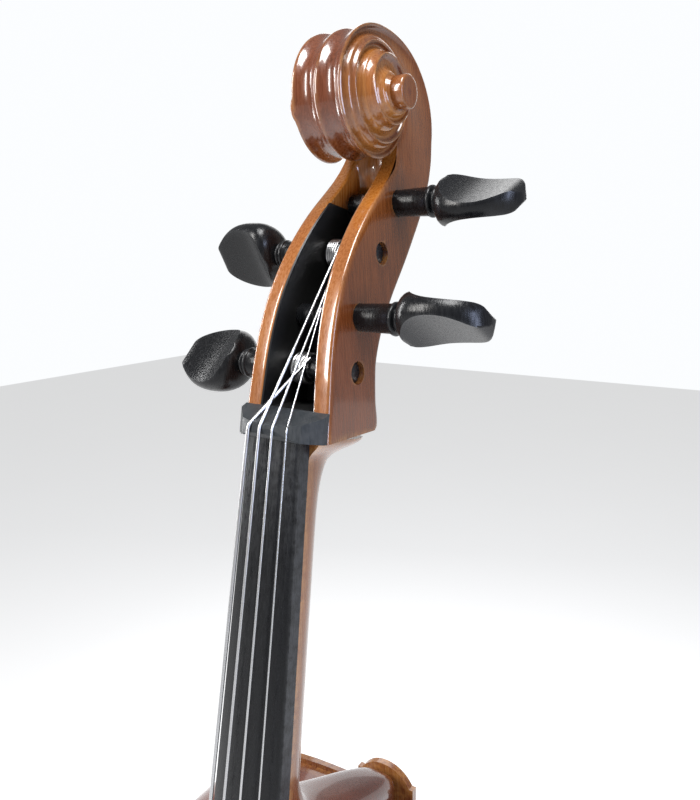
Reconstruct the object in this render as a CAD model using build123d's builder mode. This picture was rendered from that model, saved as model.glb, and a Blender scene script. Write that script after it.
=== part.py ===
from build123d import *
import os
from math import atan2, cos, exp, hypot, pi, radians, sin, sqrt, tan

# Full-size cello. +Z runs up the body, +X to the player's treble side seen from the front, +Y to the back.
# The origin is the centre of the flat under the endpin's rubber tip. All sizes in millimetres.

# Body outline
body_length = 755
upper_bout = 340
waist = 240
lower_bout = 440
lower_bout_height = 170
upper_bout_drop = 123
lower_corner_height = 297
upper_corner_drop = 228
lower_corner_half_width = 190
upper_corner_half_width = 151
corner_width = 8
body_bottom = 46

# Plates and ribs
rib_height = 115
rib_thickness = 1.6
plate_overhang = 3.5
plate_thickness = 4.5
top_arch = 25
back_arch = 26
lining_width = 2.4
lining_height = 14
purfling_width = 1.3
purfling_depth = 1.6
purfling_margin = 4
rim_flat = 0.5
neck_block_width = 96
neck_block_depth = 30
end_block_width = 70
end_block_depth = 26
corner_block_size = 42
corner_block_width = 67

# Sound holes
f_upper_eye = 10
f_lower_eye = 14
f_stem_width = 6.5
f_upper_eye_x = 42
f_lower_eye_x = 92
f_upper_eye_height = 412
f_lower_eye_height = 300

# Bridge, bar and post
stop_length = 400
bridge_width = 90
bridge_foot_thickness = 11
bridge_crown_thickness = 3.2
bridge_crown_radius = 64
bass_bar_length = 560
bass_bar_depth = 22
bass_bar_width = 11
bass_bar_x = 31
sound_post_diameter = 11
sound_post_x = 31
sound_post_below_bridge = 18

# Neck and fingerboard
neck_length = 280
overstand = 20
neck_slope = 0.1875
fingerboard_length = 580
fingerboard_nut_width = 31
fingerboard_end_width = 63
fingerboard_radius = 62
fingerboard_edge = 6.8
board_wall = 6
board_hollow_from = 310
neck_set_in = 0.3
neck_depth = 19.5
neck_width = 30.4
heel_width = 40
heel_start = 205
root_length = 26
mortise_depth = 10
button_width = 42
button_height = 21

# Nut
nut_width = 51
nut_crown = 4.6
nut_front = 9
nut_rear = 6.5
nut_crown_half = 18
nut_crown_sag = 3.2
nut_end_level = 5.5
nut_crest = -3
string_nut_spacing = 7.5

# Pegbox and scroll
pegbox_nut_half_width = 25.6
pegbox_top_half_width = 17
pegbox_height = 150
cheek_thickness = 9.6
scroll_centre_back = 40.5
scroll_centre_up = 162.5
volute_radius = 34.5
volute_shrink = 6.7
volute_flare = 26
volute_flare_turn = 60
volute_half_width = 13.8
volute_step_in = 0.4
eye_radius = 8
eye_half_width = 34

# Pegs: place in the pegbox (back from the board plane, up from the nut), side and turn of the head
peg_places = {
    "c": (31.9, 25.1, -1, 35),
    "g": (49.8, 86.5, -1, -40),
    "d": (64.5, 115.4, 1, 58),
    "a": (32.3, 52.2, 1, -75),
}
peg_head_diameter = 13.6
peg_tip_diameter = 11.2
peg_collar_diameter = 16.5
peg_shank_out = 19
peg_tip_sunk = 2.5
peg_clearance = 0.05
peg_hole_spare = 6
peg_head_length = 46
peg_head_width = 39
peg_head_thickness = 11
peg_head_neck = 10

# Strings
string_diameters = {"c": 1.9, "g": 1.5, "d": 1.15, "a": 0.8}
string_slots = {"c": -1.5, "g": -0.5, "d": 0.5, "a": 1.5}
winding_centres = {"c": -7.5, "g": -6, "d": 5, "a": 7}
winding_turns = {"c": 5, "g": 5, "d": 6, "a": 8}
bridge_string_spacing = 15.8
tuner_string_spacing = 13.5
board_action = 10.5
string_gap = 0.3
groove_clearance = 0.05
groove_depth = 0.3
nut_bend_radius = 5
bridge_bend_radius = 4

# Tailpiece and tuners
tailpiece_length = 222
tailpiece_top_width = 60
tailpiece_end_width = 28
tailpiece_thickness = 11
tailpiece_saddle_gap = 10
tailpiece_drop = 5
fret_width = 4
tuner_slot_width = 5.4
tuner_lever_width = 4
tuner_screw_diameter = 3.5
tuner_knob_diameter = 9
tuner_pivot_inset = 24
tuner_arm = 20
tuner_rod_diameter = 2.4
tuner_rod_length = 50
pivot_depth = 11
ball_diameter = 4.5
tail_crown_radius = 70
tail_depth = 9.5
tail_cord_diameter = 2.4
tail_cord_spacing = 13

# Saddle and endpin
saddle_width = 44
saddle_height = 8
saddle_depth = 12
collar_diameter = 25
collar_flange_diameter = 33
collar_flange_thickness = 8
collar_plug_length = 42
collar_bottom = 31
rod_diameter = 10
rod_length = 470
rod_clearance = 0.06
rubber_diameter = 27
rubber_height = 28
rubber_flat_diameter = 12
rubber_widest = 12.6
rubber_neck = 24
rubber_neck_wall = 4
rubber_lip_wall = 2.5
thumbscrew_diameter = 5
thumbscrew_knob = 13
thumbscrew_knob_length = 8

os.makedirs("parts", exist_ok=True)
upwards = (Align.CENTER, Align.CENTER, Align.MIN)

# ---- Places worked out from the sizes above ----


def board_width(down):
    """Width of the fingerboard, down from the nut."""
    return fingerboard_nut_width + (fingerboard_end_width - fingerboard_nut_width) * down / fingerboard_length


def crown_sag(radius, half_width):
    """How far a round crown falls at half_width from its middle."""
    return radius - sqrt(radius ** 2 - half_width ** 2)


def board_thickness(down):
    """Thickness of the fingerboard on its centre line, down from the nut."""
    return fingerboard_edge + crown_sag(fingerboard_radius, board_width(down) / 2)


plate_inner = rib_height / 2
plate_outer = plate_inner + plate_thickness
body_top = body_bottom + body_length
body_centre = (0, 0, body_bottom + body_length / 2)
bridge_height_place = body_top - stop_length
neck_tilt = atan2(neck_slope, 1)
board_at_edge = -(plate_outer + overstand + board_thickness(neck_length))
nut_point = Vector(
    0,
    board_at_edge + neck_length * sin(neck_tilt),
    body_top + neck_length * cos(neck_tilt),
)
neck_up = Vector(0, sin(neck_tilt), cos(neck_tilt))
neck_back = Vector(0, cos(neck_tilt), -sin(neck_tilt))
neck_side = Plane(origin=nut_point, x_dir=neck_back, z_dir=(1, 0, 0))
neck_front = Plane(origin=nut_point, x_dir=(1, 0, 0), z_dir=neck_back * -1)
neck_cross = Plane(origin=nut_point, x_dir=(1, 0, 0), z_dir=neck_up)


def neck_point(x, back, up):
    """A point given from the nut: across, back from the board plane, up the pegbox."""
    return nut_point + Vector(x, 0, 0) + neck_back * back + neck_up * up


def body_plane(y):
    """The body's own plane at depth y: x across, y up the body, facing the front."""
    return Plane(origin=(0, y, body_bottom), x_dir=(1, 0, 0), z_dir=(0, -1, 0))


# ---- Body outline and arching ----

def drawn_in(point, before, after, inset):
    """A point of the outline moved inwards, where it runs in one direction before and another after."""
    first = (-before[1] / hypot(*before), before[0] / hypot(*before))
    second = (-after[1] / hypot(*after), after[0] / hypot(*after))
    spread = first[0] * second[1] - first[1] * second[0]
    if abs(spread) < 0.01:
        return (point[0] + inset * first[0], point[1] + inset * first[1])
    return (
        point[0] + inset * (second[1] - first[1]) / spread,
        point[1] + inset * (first[0] - second[0]) / spread,
    )


def body_outline(inset=0):
    """The closed outline of the plates, drawn in by inset."""
    up = (0, 1)
    waist_height = (lower_corner_height + body_length - upper_corner_drop) / 2 + 4
    lower_tip = (lower_corner_half_width, lower_corner_height)
    lower_cut = (-0.64 * corner_width, 0.77 * corner_width)
    upper_tip = (upper_corner_half_width, body_length - upper_corner_drop)
    upper_cut = (-0.5 * corner_width, 0.86 * corner_width)
    into_lower_tip = (0.5, 0.86)
    out_of_lower_tip = (-0.93, 0.36)
    into_upper_tip = (0.9, 0.42)
    out_of_upper_tip = (-0.4, 0.9)
    lower_wide = drawn_in((lower_bout / 2, lower_bout_height), up, up, inset)
    lower_hollow = drawn_in((lower_tip[0] - 5, lower_tip[1] - 26), up, up, inset)
    lower_outer = drawn_in(lower_tip, into_lower_tip, lower_cut, inset)
    lower_inner = drawn_in(
        (lower_tip[0] + lower_cut[0], lower_tip[1] + lower_cut[1]), lower_cut, out_of_lower_tip, inset
    )
    waist_point = drawn_in((waist / 2, waist_height), up, up, inset)
    upper_outer = drawn_in(upper_tip, into_upper_tip, upper_cut, inset)
    upper_inner = drawn_in(
        (upper_tip[0] + upper_cut[0], upper_tip[1] + upper_cut[1]), upper_cut, out_of_upper_tip, inset
    )
    upper_hollow = drawn_in((upper_tip[0] - 5, upper_tip[1] + 26), up, up, inset)
    upper_wide = drawn_in((upper_bout / 2, body_length - upper_bout_drop), up, up, inset)
    with BuildSketch() as outline:
        with BuildLine():
            Spline((0, inset), lower_wide, tangents=[(1, 0), up])
            Spline(lower_wide, lower_hollow, lower_outer, tangents=[up, into_lower_tip])
            Line(lower_outer, lower_inner)
            Spline(lower_inner, waist_point, upper_outer, tangents=[out_of_lower_tip, into_upper_tip])
            Line(upper_outer, upper_inner)
            Spline(upper_inner, upper_hollow, upper_wide, tangents=[out_of_upper_tip, up])
            Spline(upper_wide, (0, body_length - inset), tangents=[up, (-1, 0)])
            mirror(about=Plane.YZ)
        make_face()
    return outline.sketch


def footprint_half_width(height):
    """Half the width over which the arching rises, at a height up the body."""
    margin = purfling_margin + purfling_width + 2
    if height <= lower_bout_height:
        share = (lower_bout_height - height) / (lower_bout_height - margin)
        return (lower_bout / 2 - margin) * sqrt(max(0, 1 - share ** 2.2))
    if height >= body_length - upper_bout_drop:
        share = (height - body_length + upper_bout_drop) / (upper_bout_drop - margin)
        return (upper_bout / 2 - margin) * sqrt(max(0, 1 - share ** 2.2))
    waist_place = (lower_corner_height + body_length - upper_corner_drop) / 2
    wide = lower_bout if height < waist_place else upper_bout
    reach = waist_place - lower_bout_height if height < waist_place \
        else body_length - upper_bout_drop - waist_place
    share = (1 + cos(pi * abs(height - waist_place) / reach)) / 2
    return wide / 2 - margin - (wide - waist) / 2 * share ** 0.8


def arch_rise(x, height, arch):
    """How far the plate stands above its edge."""
    half = footprint_half_width(height)
    if half <= 0 or abs(x) >= half:
        return 0
    across = (1 + cos(pi * (abs(x) / half) ** 1.35)) / 2
    along = (1 + cos(pi * abs(2 * height / body_length - 1) ** 2.6)) / 2
    return arch * across * along ** 0.8


def arched_face(edge_y, arch, side):
    """The arched surface that meets the plate's edge at depth edge_y."""
    columns = 26
    rows = 40
    spare = 8
    width = lower_bout + 2 * spare
    length = body_length + 2 * spare
    grid = []
    for i in range(columns + 1):
        x = -width / 2 + width * i / columns
        line = []
        for j in range(rows + 1):
            height = -spare + length * j / rows
            rise = arch_rise(x, height, arch)
            line.append(Vector(x, edge_y + side * rise, body_bottom + height))
        grid.append(line)
    return Face.make_surface_from_array_of_points(grid, tol=0.02, min_deg=3, max_deg=3)


top_surface = arched_face(-plate_inner + rim_flat, top_arch, -1)
back_surface = arched_face(plate_inner - rim_flat, back_arch, 1)


outer_outline = body_outline()
rib_outline = body_outline(plate_overhang)
hollow_outline = body_outline(plate_overhang + rib_thickness)
lining_outline = body_outline(plate_overhang + rib_thickness + lining_width)
purfling_outer = body_outline(purfling_margin)
purfling_inner = body_outline(purfling_margin + purfling_width)


def finish(part, name):
    """Label a finished piece and write its file."""
    part.label = name
    export_step(part, f"parts/{name}.step")
    print(name, len(part.solids()), round(part.volume), part.is_valid)


def neck_root_cut():
    """The neck's foot, cut from whatever it is let into."""
    Box(
        heel_width, overstand + 12 + plate_outer + plate_inner, mortise_depth,
        align=(Align.CENTER, Align.MAX, Align.MAX), mode=Mode.SUBTRACT,
    )


# ---- Ribs, blocks and linings ----

corner_level_low = body_bottom + lower_corner_height
corner_level_high = body_top - upper_corner_drop
rib_zones = {
    "lower": (body_bottom, corner_level_low),
    "waist": (corner_level_low, corner_level_high),
    "upper": (corner_level_high, body_top),
}

for zone, (zone_low, zone_high) in rib_zones.items():
    for side_name, side_sign in (("bass", -1), ("treble", 1)):
        with BuildPart() as rib:
            with BuildSketch(body_plane(plate_inner)):
                add(rib_outline)
                add(hollow_outline, mode=Mode.SUBTRACT)
            extrude(amount=rib_height)
            with Locations((side_sign * lower_bout / 2, 0, (zone_low + zone_high) / 2)):
                Box(lower_bout, 2 * rib_height, zone_high - zone_low, mode=Mode.INTERSECT)
            if zone == "upper":
                with Locations((0, plate_inner, body_top)):
                    neck_root_cut()
            if zone == "lower":
                with Locations((0, 0, body_bottom)):
                    Cylinder(collar_diameter / 2 + 0.2, 60, mode=Mode.SUBTRACT)
        finish(rib.part, f"rib_{zone}_{side_name}")

with BuildPart() as neck_block:
    with BuildSketch(body_plane(plate_inner)):
        add(hollow_outline)
    extrude(amount=rib_height)
    with Locations((0, 0, body_top - neck_block_depth / 2)):
        Box(neck_block_width, rib_height, neck_block_depth, mode=Mode.INTERSECT)
    with Locations((0, plate_inner, body_top)):
        neck_root_cut()
finish(neck_block.part, "neck_block")

plug_top = body_bottom + plate_overhang + collar_plug_length
with BuildPart() as end_block:
    with BuildSketch(body_plane(plate_inner)):
        add(hollow_outline)
    extrude(amount=rib_height)
    with Locations((0, 0, body_bottom + end_block_depth / 2)):
        Box(end_block_width, rib_height, end_block_depth, mode=Mode.INTERSECT)
    with Locations((0, 0, body_bottom)):
        Cylinder(collar_diameter / 2, 4 * end_block_depth, mode=Mode.SUBTRACT)
finish(end_block.part, "end_block")

corner_block_places = []
for corner_x, corner_z in (
    (lower_corner_half_width, corner_level_low),
    (upper_corner_half_width, corner_level_high),
):
    for side_sign in (-1, 1):
        corner_block_places.append((side_sign * corner_x, 0, corner_z))

with BuildPart() as corner_blocks:
    with BuildSketch(body_plane(plate_inner)):
        add(hollow_outline)
    extrude(amount=rib_height)
    with BuildPart(mode=Mode.PRIVATE) as corner_boxes:
        with Locations(*corner_block_places):
            Box(corner_block_width, rib_height, corner_block_size)
    add(corner_boxes.part, mode=Mode.INTERSECT)
finish(corner_blocks.part, "corner_blocks")

for plate_name, lining_from in (("top", -plate_inner + lining_height), ("back", plate_inner)):
    with BuildPart() as linings:
        with BuildSketch(body_plane(lining_from)):
            add(hollow_outline)
            add(lining_outline, mode=Mode.SUBTRACT)
        extrude(amount=lining_height)
        with Locations((0, 0, body_top - neck_block_depth / 2)):
            Box(neck_block_width, rib_height, neck_block_depth, mode=Mode.SUBTRACT)
        with Locations((0, 0, body_bottom + end_block_depth / 2)):
            Box(end_block_width, rib_height, end_block_depth, mode=Mode.SUBTRACT)
        with Locations(*corner_block_places):
            Box(corner_block_width, rib_height, corner_block_size, mode=Mode.SUBTRACT)
    finish(linings.part, f"linings_{plate_name}")

# ---- Plates ----


def sound_hole(side_sign):
    """One f-shaped hole in the body plane."""
    upper = (f_upper_eye_x, f_upper_eye_height)
    lower = (f_lower_eye_x, f_lower_eye_height)
    spine = Spline(
        (upper[0], upper[1] + f_upper_eye / 2 - 1),
        (upper[0] + 14, upper[1] + 8),
        ((upper[0] + lower[0]) / 2, (upper[1] + lower[1]) / 2),
        (lower[0] - 18, lower[1] - 12),
        (lower[0], lower[1] - f_lower_eye / 2 + 1),
    )
    edges = {1: [], -1: []}
    for step in range(13):
        middle = spine.position_at(step / 12)
        across = spine.tangent_at(step / 12).rotate(Axis.Z, 90)
        half = f_stem_width / 2 * (1 - 0.45 * abs(step / 6 - 1) ** 2)
        for edge_side, edge in edges.items():
            edge.append(middle + across * (edge_side * half))
    with BuildSketch() as hole:
        with Locations(upper):
            Circle(f_upper_eye / 2)
        with Locations(lower):
            Circle(f_lower_eye / 2)
        with BuildLine():
            Spline(*edges[1])
            Spline(*edges[-1])
            Line(edges[1][0], edges[-1][0])
            Line(edges[1][-1], edges[-1][-1])
        make_face()
    if side_sign < 0:
        return mirror(hole.sketch, about=Plane.YZ)
    return hole.sketch


sound_holes = [sound_hole(-1), sound_hole(1)]

with BuildPart() as top_plate:
    extrude(top_surface, amount=plate_thickness + rim_flat, dir=(0, -1, 0))
    with BuildSketch(body_plane(0)):
        add(outer_outline)
    extrude(amount=plate_outer + 2 * top_arch, mode=Mode.INTERSECT)
    with Locations(body_centre):
        Box(2 * lower_bout, rib_height, 2 * body_length, mode=Mode.SUBTRACT)
    for hole in sound_holes:
        with BuildSketch(body_plane(0)):
            add(hole)
        extrude(amount=plate_outer + 2 * top_arch, mode=Mode.SUBTRACT)
    with BuildSketch(body_plane(-plate_outer + purfling_depth)):
        add(purfling_outer)
        add(purfling_inner, mode=Mode.SUBTRACT)
    extrude(amount=2 * purfling_depth, mode=Mode.SUBTRACT)
    with Locations((0, plate_inner, body_top)):
        neck_root_cut()
    with Locations((0, -plate_outer, body_bottom)):
        Box(saddle_width, 3 * plate_thickness, 2 * saddle_depth, mode=Mode.SUBTRACT)
finish(top_plate.part, "top_plate")

with BuildPart() as back_plate:
    extrude(back_surface, amount=plate_thickness + rim_flat, dir=(0, 1, 0))
    with BuildSketch(body_plane(0)):
        add(outer_outline)
    extrude(amount=-(plate_outer + 2 * back_arch), mode=Mode.INTERSECT)
    with Locations(body_centre):
        Box(2 * lower_bout, rib_height, 2 * body_length, mode=Mode.SUBTRACT)
    with BuildSketch(body_plane(plate_outer)):
        with Locations((0, body_length - 4)):
            Rectangle(button_width, button_height / 2 + 4, align=(Align.CENTER, Align.MIN))
        with Locations((0, body_length + button_height - button_width / 2)):
            Circle(button_width / 2)
        with Locations((0, body_length - 4)):
            Rectangle(2 * button_width, 2 * button_width, align=(Align.CENTER, Align.MAX), mode=Mode.SUBTRACT)
    extrude(amount=plate_thickness)
    with BuildSketch(body_plane(plate_outer - purfling_depth)):
        add(purfling_outer)
        add(purfling_inner, mode=Mode.SUBTRACT)
    extrude(amount=-2 * purfling_depth, mode=Mode.SUBTRACT)
finish(back_plate.part, "back_plate")

for plate_name, edge_y, direction in (("top", -plate_outer, 1), ("back", plate_outer, -1)):
    with BuildPart() as purfling:
        with BuildSketch(body_plane(edge_y + direction * purfling_depth)):
            add(purfling_outer)
            add(purfling_inner, mode=Mode.SUBTRACT)
        extrude(amount=direction * purfling_depth)
        if plate_name == "top":
            with Locations((0, plate_inner, body_top)):
                neck_root_cut()
            with Locations((0, -plate_outer, body_bottom)):
                Box(saddle_width, 3 * plate_thickness, 2 * saddle_depth, mode=Mode.SUBTRACT)
    finish(purfling.part, f"purfling_{plate_name}")

with BuildPart() as bass_bar:
    extrude(top_surface, amount=bass_bar_depth, dir=(0, 1, 0))
    bar_middle = (-bass_bar_x, -plate_inner, body_bottom + body_length / 2)
    with Locations(bar_middle):
        Box(bass_bar_width, 4 * top_arch, bass_bar_length, mode=Mode.INTERSECT)
    with BuildSketch(Plane.YZ):
        with Locations((-plate_inner - top_arch, bar_middle[2])):
            Ellipse(top_arch + bass_bar_depth - 3, bass_bar_length / 2 + 6)
    extrude(amount=bass_bar_x + bass_bar_width, both=True, mode=Mode.INTERSECT)
finish(bass_bar.part, "bass_bar")

post_height = bridge_height_place - sound_post_below_bridge
with BuildPart() as sound_post:
    with Locations(Plane(origin=(sound_post_x, 0, post_height), z_dir=(0, 1, 0))):
        Cylinder(sound_post_diameter / 2, rib_height + 2 * (top_arch + back_arch))
    top_side = extrude(top_surface, amount=2 * rib_height + 100, dir=(0, 1, 0), mode=Mode.PRIVATE)
    add(top_side, mode=Mode.INTERSECT)
    back_side = extrude(back_surface, amount=2 * rib_height + 100, dir=(0, -1, 0), mode=Mode.PRIVATE)
    add(back_side, mode=Mode.INTERSECT)
finish(sound_post.part, "sound_post")

# ---- Neck, pegbox and scroll ----

board_rise = (board_thickness(fingerboard_length) - board_thickness(0)) / fingerboard_length


def underside(down):
    """Depth of the fingerboard's flat underside below the board plane."""
    return board_thickness(0) + board_rise * down


def volute_point(turn_degrees, drawn=0):
    """A point of the volute's edge: back and up from the nut, at an angle from the back of the head."""
    radius = volute_radius - volute_shrink * turn_degrees / 360 - drawn
    radius += volute_flare * exp(-(turn_degrees / volute_flare_turn) ** 2)
    return (
        scroll_centre_back + radius * cos(radians(turn_degrees)),
        scroll_centre_up + radius * sin(radians(turn_degrees)),
    )


def volute_width(turn_degrees):
    """Half the distance between the two edges of the volute."""
    turns = turn_degrees / 360
    return volute_half_width + 0.8 * turns + 1.45 * turns ** 2


def pegbox_half_width(up):
    """Half the pegbox's outer width at a height above the nut."""
    return pegbox_nut_half_width - (pegbox_nut_half_width - pegbox_top_half_width) * up / pegbox_height


pegbox_foot = -nut_front
front_edge = [(9, pegbox_foot), (9.4, 30), (14, 60), (27, 90), (49.5, 120), (68, 144)]
back_edge = [(50, 12), (49.5, 32), (59.4, 60), (77.3, 90), (93.4, 120), (100.6, 146)]
floor_edge = [(43.5, nut_rear + 2), (42, 30), (51, 60), (67.5, 90), (81, 112)]
cavity_top = (62, 129)
chin_back = (48, pegbox_foot)
chin_shoulder = (52, 2)

with BuildPart() as neck:
    with BuildSketch(neck_side):
        with BuildLine():
            inner_throat = volute_point(360)
            outer_throat = volute_point(0)
            Spline(*front_edge, inner_throat, tangents=[(0, 1), (0, 1)])
            Line(inner_throat, outer_throat)
            Spline(outer_throat, *reversed(back_edge), tangents=[(0, -1), (0.1, -1)])
            Line(back_edge[0], chin_shoulder)
            Line(chin_shoulder, chin_back)
            Line(chin_back, front_edge[0])
        make_face()
    extrude(amount=pegbox_nut_half_width + 2, both=True)
    with BuildSketch(neck_front):
        with BuildLine():
            taper_top = pegbox_height + 40
            Polyline(
                (-pegbox_half_width(pegbox_foot), pegbox_foot - 1),
                (pegbox_half_width(pegbox_foot), pegbox_foot - 1),
                (pegbox_half_width(taper_top), taper_top),
                (-pegbox_half_width(taper_top), taper_top),
                close=True,
            )
        make_face()
    extrude(amount=200, both=True, mode=Mode.INTERSECT)
    with BuildPart(mode=Mode.PRIVATE) as cavity:
        with BuildSketch(neck_side):
            with BuildLine():
                Spline(*floor_edge, cavity_top, tangents=[(-0.1, 1), (-1, 0.3)])
                Line(cavity_top, (0, cavity_top[1]))
                Line((0, cavity_top[1]), (0, nut_rear))
                Line((0, nut_rear), (floor_edge[0][0], nut_rear))
                Line((floor_edge[0][0], nut_rear), floor_edge[0])
            make_face()
        extrude(amount=pegbox_nut_half_width, both=True)
        with BuildSketch(neck_front):
            with BuildLine():
                Polyline(
                    (-pegbox_half_width(0) + cheek_thickness, 0),
                    (pegbox_half_width(0) - cheek_thickness, 0),
                    (pegbox_half_width(taper_top) - cheek_thickness, taper_top),
                    (-pegbox_half_width(taper_top) + cheek_thickness, taper_top),
                    close=True,
                )
            make_face()
        extrude(amount=200, both=True, mode=Mode.INTERSECT)
    add(cavity.part, mode=Mode.SUBTRACT)
    # the turns, each wider than the one outside it and a little inside its edge
    for turn_index in range(6):
        turn_start = 180 * turn_index
        turn_edge = []
        for step in range(turn_start, turn_start + 361, 30):
            turn_edge.append(volute_point(step, turn_index * volute_step_in))
        with BuildSketch(neck_side):
            with BuildLine():
                Spline(*turn_edge)
                Line(turn_edge[-1], turn_edge[0])
            make_face()
        extrude(amount=volute_width(turn_start + 90), both=True)
    with BuildSketch(neck_side):
        with Locations((scroll_centre_back, scroll_centre_up)):
            Circle(eye_radius)
    extrude(amount=eye_half_width, both=True)
    # the handle, a D section that thickens towards the heel
    for down in (nut_front, heel_start + 8):
        with BuildSketch(neck_cross.offset(-down)):
            flat = underside(down)
            half = board_width(down) / 2 - neck_set_in
            with BuildLine():
                Line((-half, flat), (half, flat))
                Line((half, flat), (half, flat + 3))
                Spline(
                    (half, flat + 3), (0, flat + neck_depth), (-half, flat + 3),
                    tangents=[(0, 1), (0, -1)],
                )
                Line((-half, flat + 3), (-half, flat))
            make_face()
    loft(ruled=True)
    # the root that rounds the handle into the pegbox
    with BuildSketch(neck_side):
        with BuildLine():
            root_end = -nut_front - root_length
            root_flat = underside(nut_front + root_length)
            Line((root_flat, pegbox_foot - 0.5), (root_flat, root_end))
            Line((root_flat, root_end), (root_flat + neck_depth - 3, root_end))
            Spline(
                (root_flat + neck_depth - 3, root_end), (45, pegbox_foot),
                tangents=[(0, 1), (1, 0.35)],
            )
            Line((45, pegbox_foot), (45, pegbox_foot + 1))
            Line((45, pegbox_foot + 1), (root_flat, pegbox_foot + 1))
            Line((root_flat, pegbox_foot + 1), (root_flat, pegbox_foot - 0.5))
        make_face()
    extrude(amount=neck_width / 2 - 1.5, both=True)
    # the heel, let into the body
    with BuildSketch(Plane.YZ):
        with BuildLine():
            start_flat = neck_point(0, underside(heel_start), -heel_start)
            start_back = neck_point(0, underside(heel_start) + neck_depth, -heel_start)
            end_down = neck_length + mortise_depth / cos(neck_tilt)
            end_flat = neck_point(0, underside(end_down), -end_down)
            foot_level = body_top - mortise_depth
            flat_lean = tan(neck_tilt + atan2(board_rise, 1))
            front_foot = (end_flat.Y + (foot_level - end_flat.Z) * flat_lean, foot_level)
            Line((start_flat.Y, start_flat.Z), (start_back.Y, start_back.Z))
            Spline(
                (start_back.Y, start_back.Z), (plate_inner, body_top + button_height),
                tangents=[(-sin(neck_tilt), -cos(neck_tilt)), (1, 0.02)],
            )
            Line((plate_inner, body_top + button_height), (plate_inner, foot_level))
            Line((plate_inner, foot_level), front_foot)
            Line(front_foot, (start_flat.Y, start_flat.Z))
        make_face()
    extrude(amount=heel_width / 2, both=True)
    # peg holes, tapered to the pegs
    for name, (back, up, head_side, _) in peg_places.items():
        outer = pegbox_half_width(up)
        taper = (peg_head_diameter - peg_tip_diameter) / (4 * outer)
        reach = outer + peg_hole_spare
        with BuildPart(mode=Mode.PRIVATE) as hole:
            with BuildSketch(neck_cross):
                with BuildLine():
                    wide = peg_head_diameter / 2 + peg_clearance + peg_hole_spare * taper
                    narrow = peg_tip_diameter / 2 + peg_clearance - peg_hole_spare * taper
                    Polyline(
                        (head_side * reach, 0), (head_side * reach, wide),
                        (-head_side * reach, narrow), (-head_side * reach, 0),
                        close=True,
                    )
                make_face()
            revolve(axis=Axis(nut_point, (1, 0, 0)))
        add(hole.part.moved(Location(neck_back * back + neck_up * up)), mode=Mode.SUBTRACT)
finish(neck.part, "neck_and_scroll")

# ---- Fingerboard and nut ----

with BuildPart() as fingerboard:
    for down in (nut_front, fingerboard_length):
        with BuildSketch(neck_cross.offset(-down)):
            half = board_width(down) / 2
            sag = crown_sag(fingerboard_radius, half)
            with BuildLine():
                ThreePointArc((-half, sag), (0, 0), (half, sag))
                Line((half, sag), (half, underside(down)))
                Line((half, underside(down)), (-half, underside(down)))
                Line((-half, underside(down)), (-half, sag))
            make_face()
    loft(ruled=True)
    for down in (board_hollow_from, fingerboard_length + 10):
        with BuildSketch(neck_cross.offset(-down)):
            half = board_width(down) / 2 - board_wall
            with BuildLine():
                edge_level = underside(down) + 1
                ThreePointArc((-half, edge_level), (0, fingerboard_edge), (half, edge_level))
                Line((half, edge_level), (-half, edge_level))
            make_face()
    loft(ruled=True, mode=Mode.SUBTRACT)
finish(fingerboard.part, "fingerboard")

nut_half = nut_width / 2
nut_seat = front_edge[0][0]
nut_shoulder = -nut_crown + nut_crown_sag
with BuildPart() as nut:
    with BuildSketch(neck_side):
        with BuildLine():
            Polyline(
                (nut_seat, -nut_front),
                (-nut_crown + 3, -nut_front),
                (-nut_crown + 1, nut_crest - 4),
                (-nut_crown, nut_crest - 1.2),
                (-nut_crown, nut_crest),
                (-nut_crown + 1.2, nut_crest + 1.2),
                (nut_seat, nut_rear - 1),
                close=True,
            )
        make_face()
    extrude(amount=nut_half, both=True)
    with BuildSketch(neck_cross.offset(-nut_front)):
        with BuildLine():
            Polyline(
                (nut_crown_half, nut_shoulder), (nut_half, nut_end_level), (nut_half, nut_seat + 3),
                (-nut_half, nut_seat + 3), (-nut_half, nut_end_level), (-nut_crown_half, nut_shoulder),
            )
            ThreePointArc((-nut_crown_half, nut_shoulder), (0, -nut_crown), (nut_crown_half, nut_shoulder))
        make_face()
    extrude(amount=nut_front + nut_rear + 1, mode=Mode.INTERSECT)
    add(neck.part, mode=Mode.SUBTRACT)

# ---- Where the strings run ----

nut_crown_radius = (nut_crown_half ** 2 + nut_crown_sag ** 2) / (2 * nut_crown_sag)
bridge_down = (nut_point.Z - bridge_height_place) / cos(neck_tilt)
action_slope = (board_action - nut_crown) / fingerboard_length
bridge_crown_y = neck_point(0, -(nut_crown + action_slope * bridge_down), -bridge_down).Y
cord_radius = tail_cord_diameter / 2
tail_origin = Vector(0, -(plate_outer + saddle_height + cord_radius + tail_depth), body_bottom + 6)
tail_angle = atan2(tail_origin.Y - bridge_crown_y, bridge_height_place - tail_origin.Z)
tail_up = Vector(0, -sin(tail_angle), cos(tail_angle))
tail_front = Vector(0, -cos(tail_angle), -sin(tail_angle))
tail_face = Plane(origin=tail_origin, x_dir=(1, 0, 0), z_dir=tail_front)
tail_cross = Plane(origin=tail_origin, x_dir=(1, 0, 0), z_dir=tail_up)
tail_side = Plane(origin=tail_origin, x_dir=tail_up, z_dir=(1, 0, 0))


def tail_point(x, up, front):
    """A point given from the saddle along the tail line: across, towards the bridge, out to the front."""
    return tail_origin + Vector(x, 0, 0) + tail_up * up + tail_front * front


def peg_radius(name, x):
    """Radius of a peg's tapered shank at x."""
    back, up, head_side, _ = peg_places[name]
    slope = (peg_head_diameter - peg_tip_diameter) / (4 * pegbox_half_width(up))
    return (peg_head_diameter + peg_tip_diameter) / 4 + slope * head_side * x


def winding_half_width(name):
    """Half the width of the string's turns on its peg."""
    return winding_turns[name] * string_diameters[name] * 1.04 / 2


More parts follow.
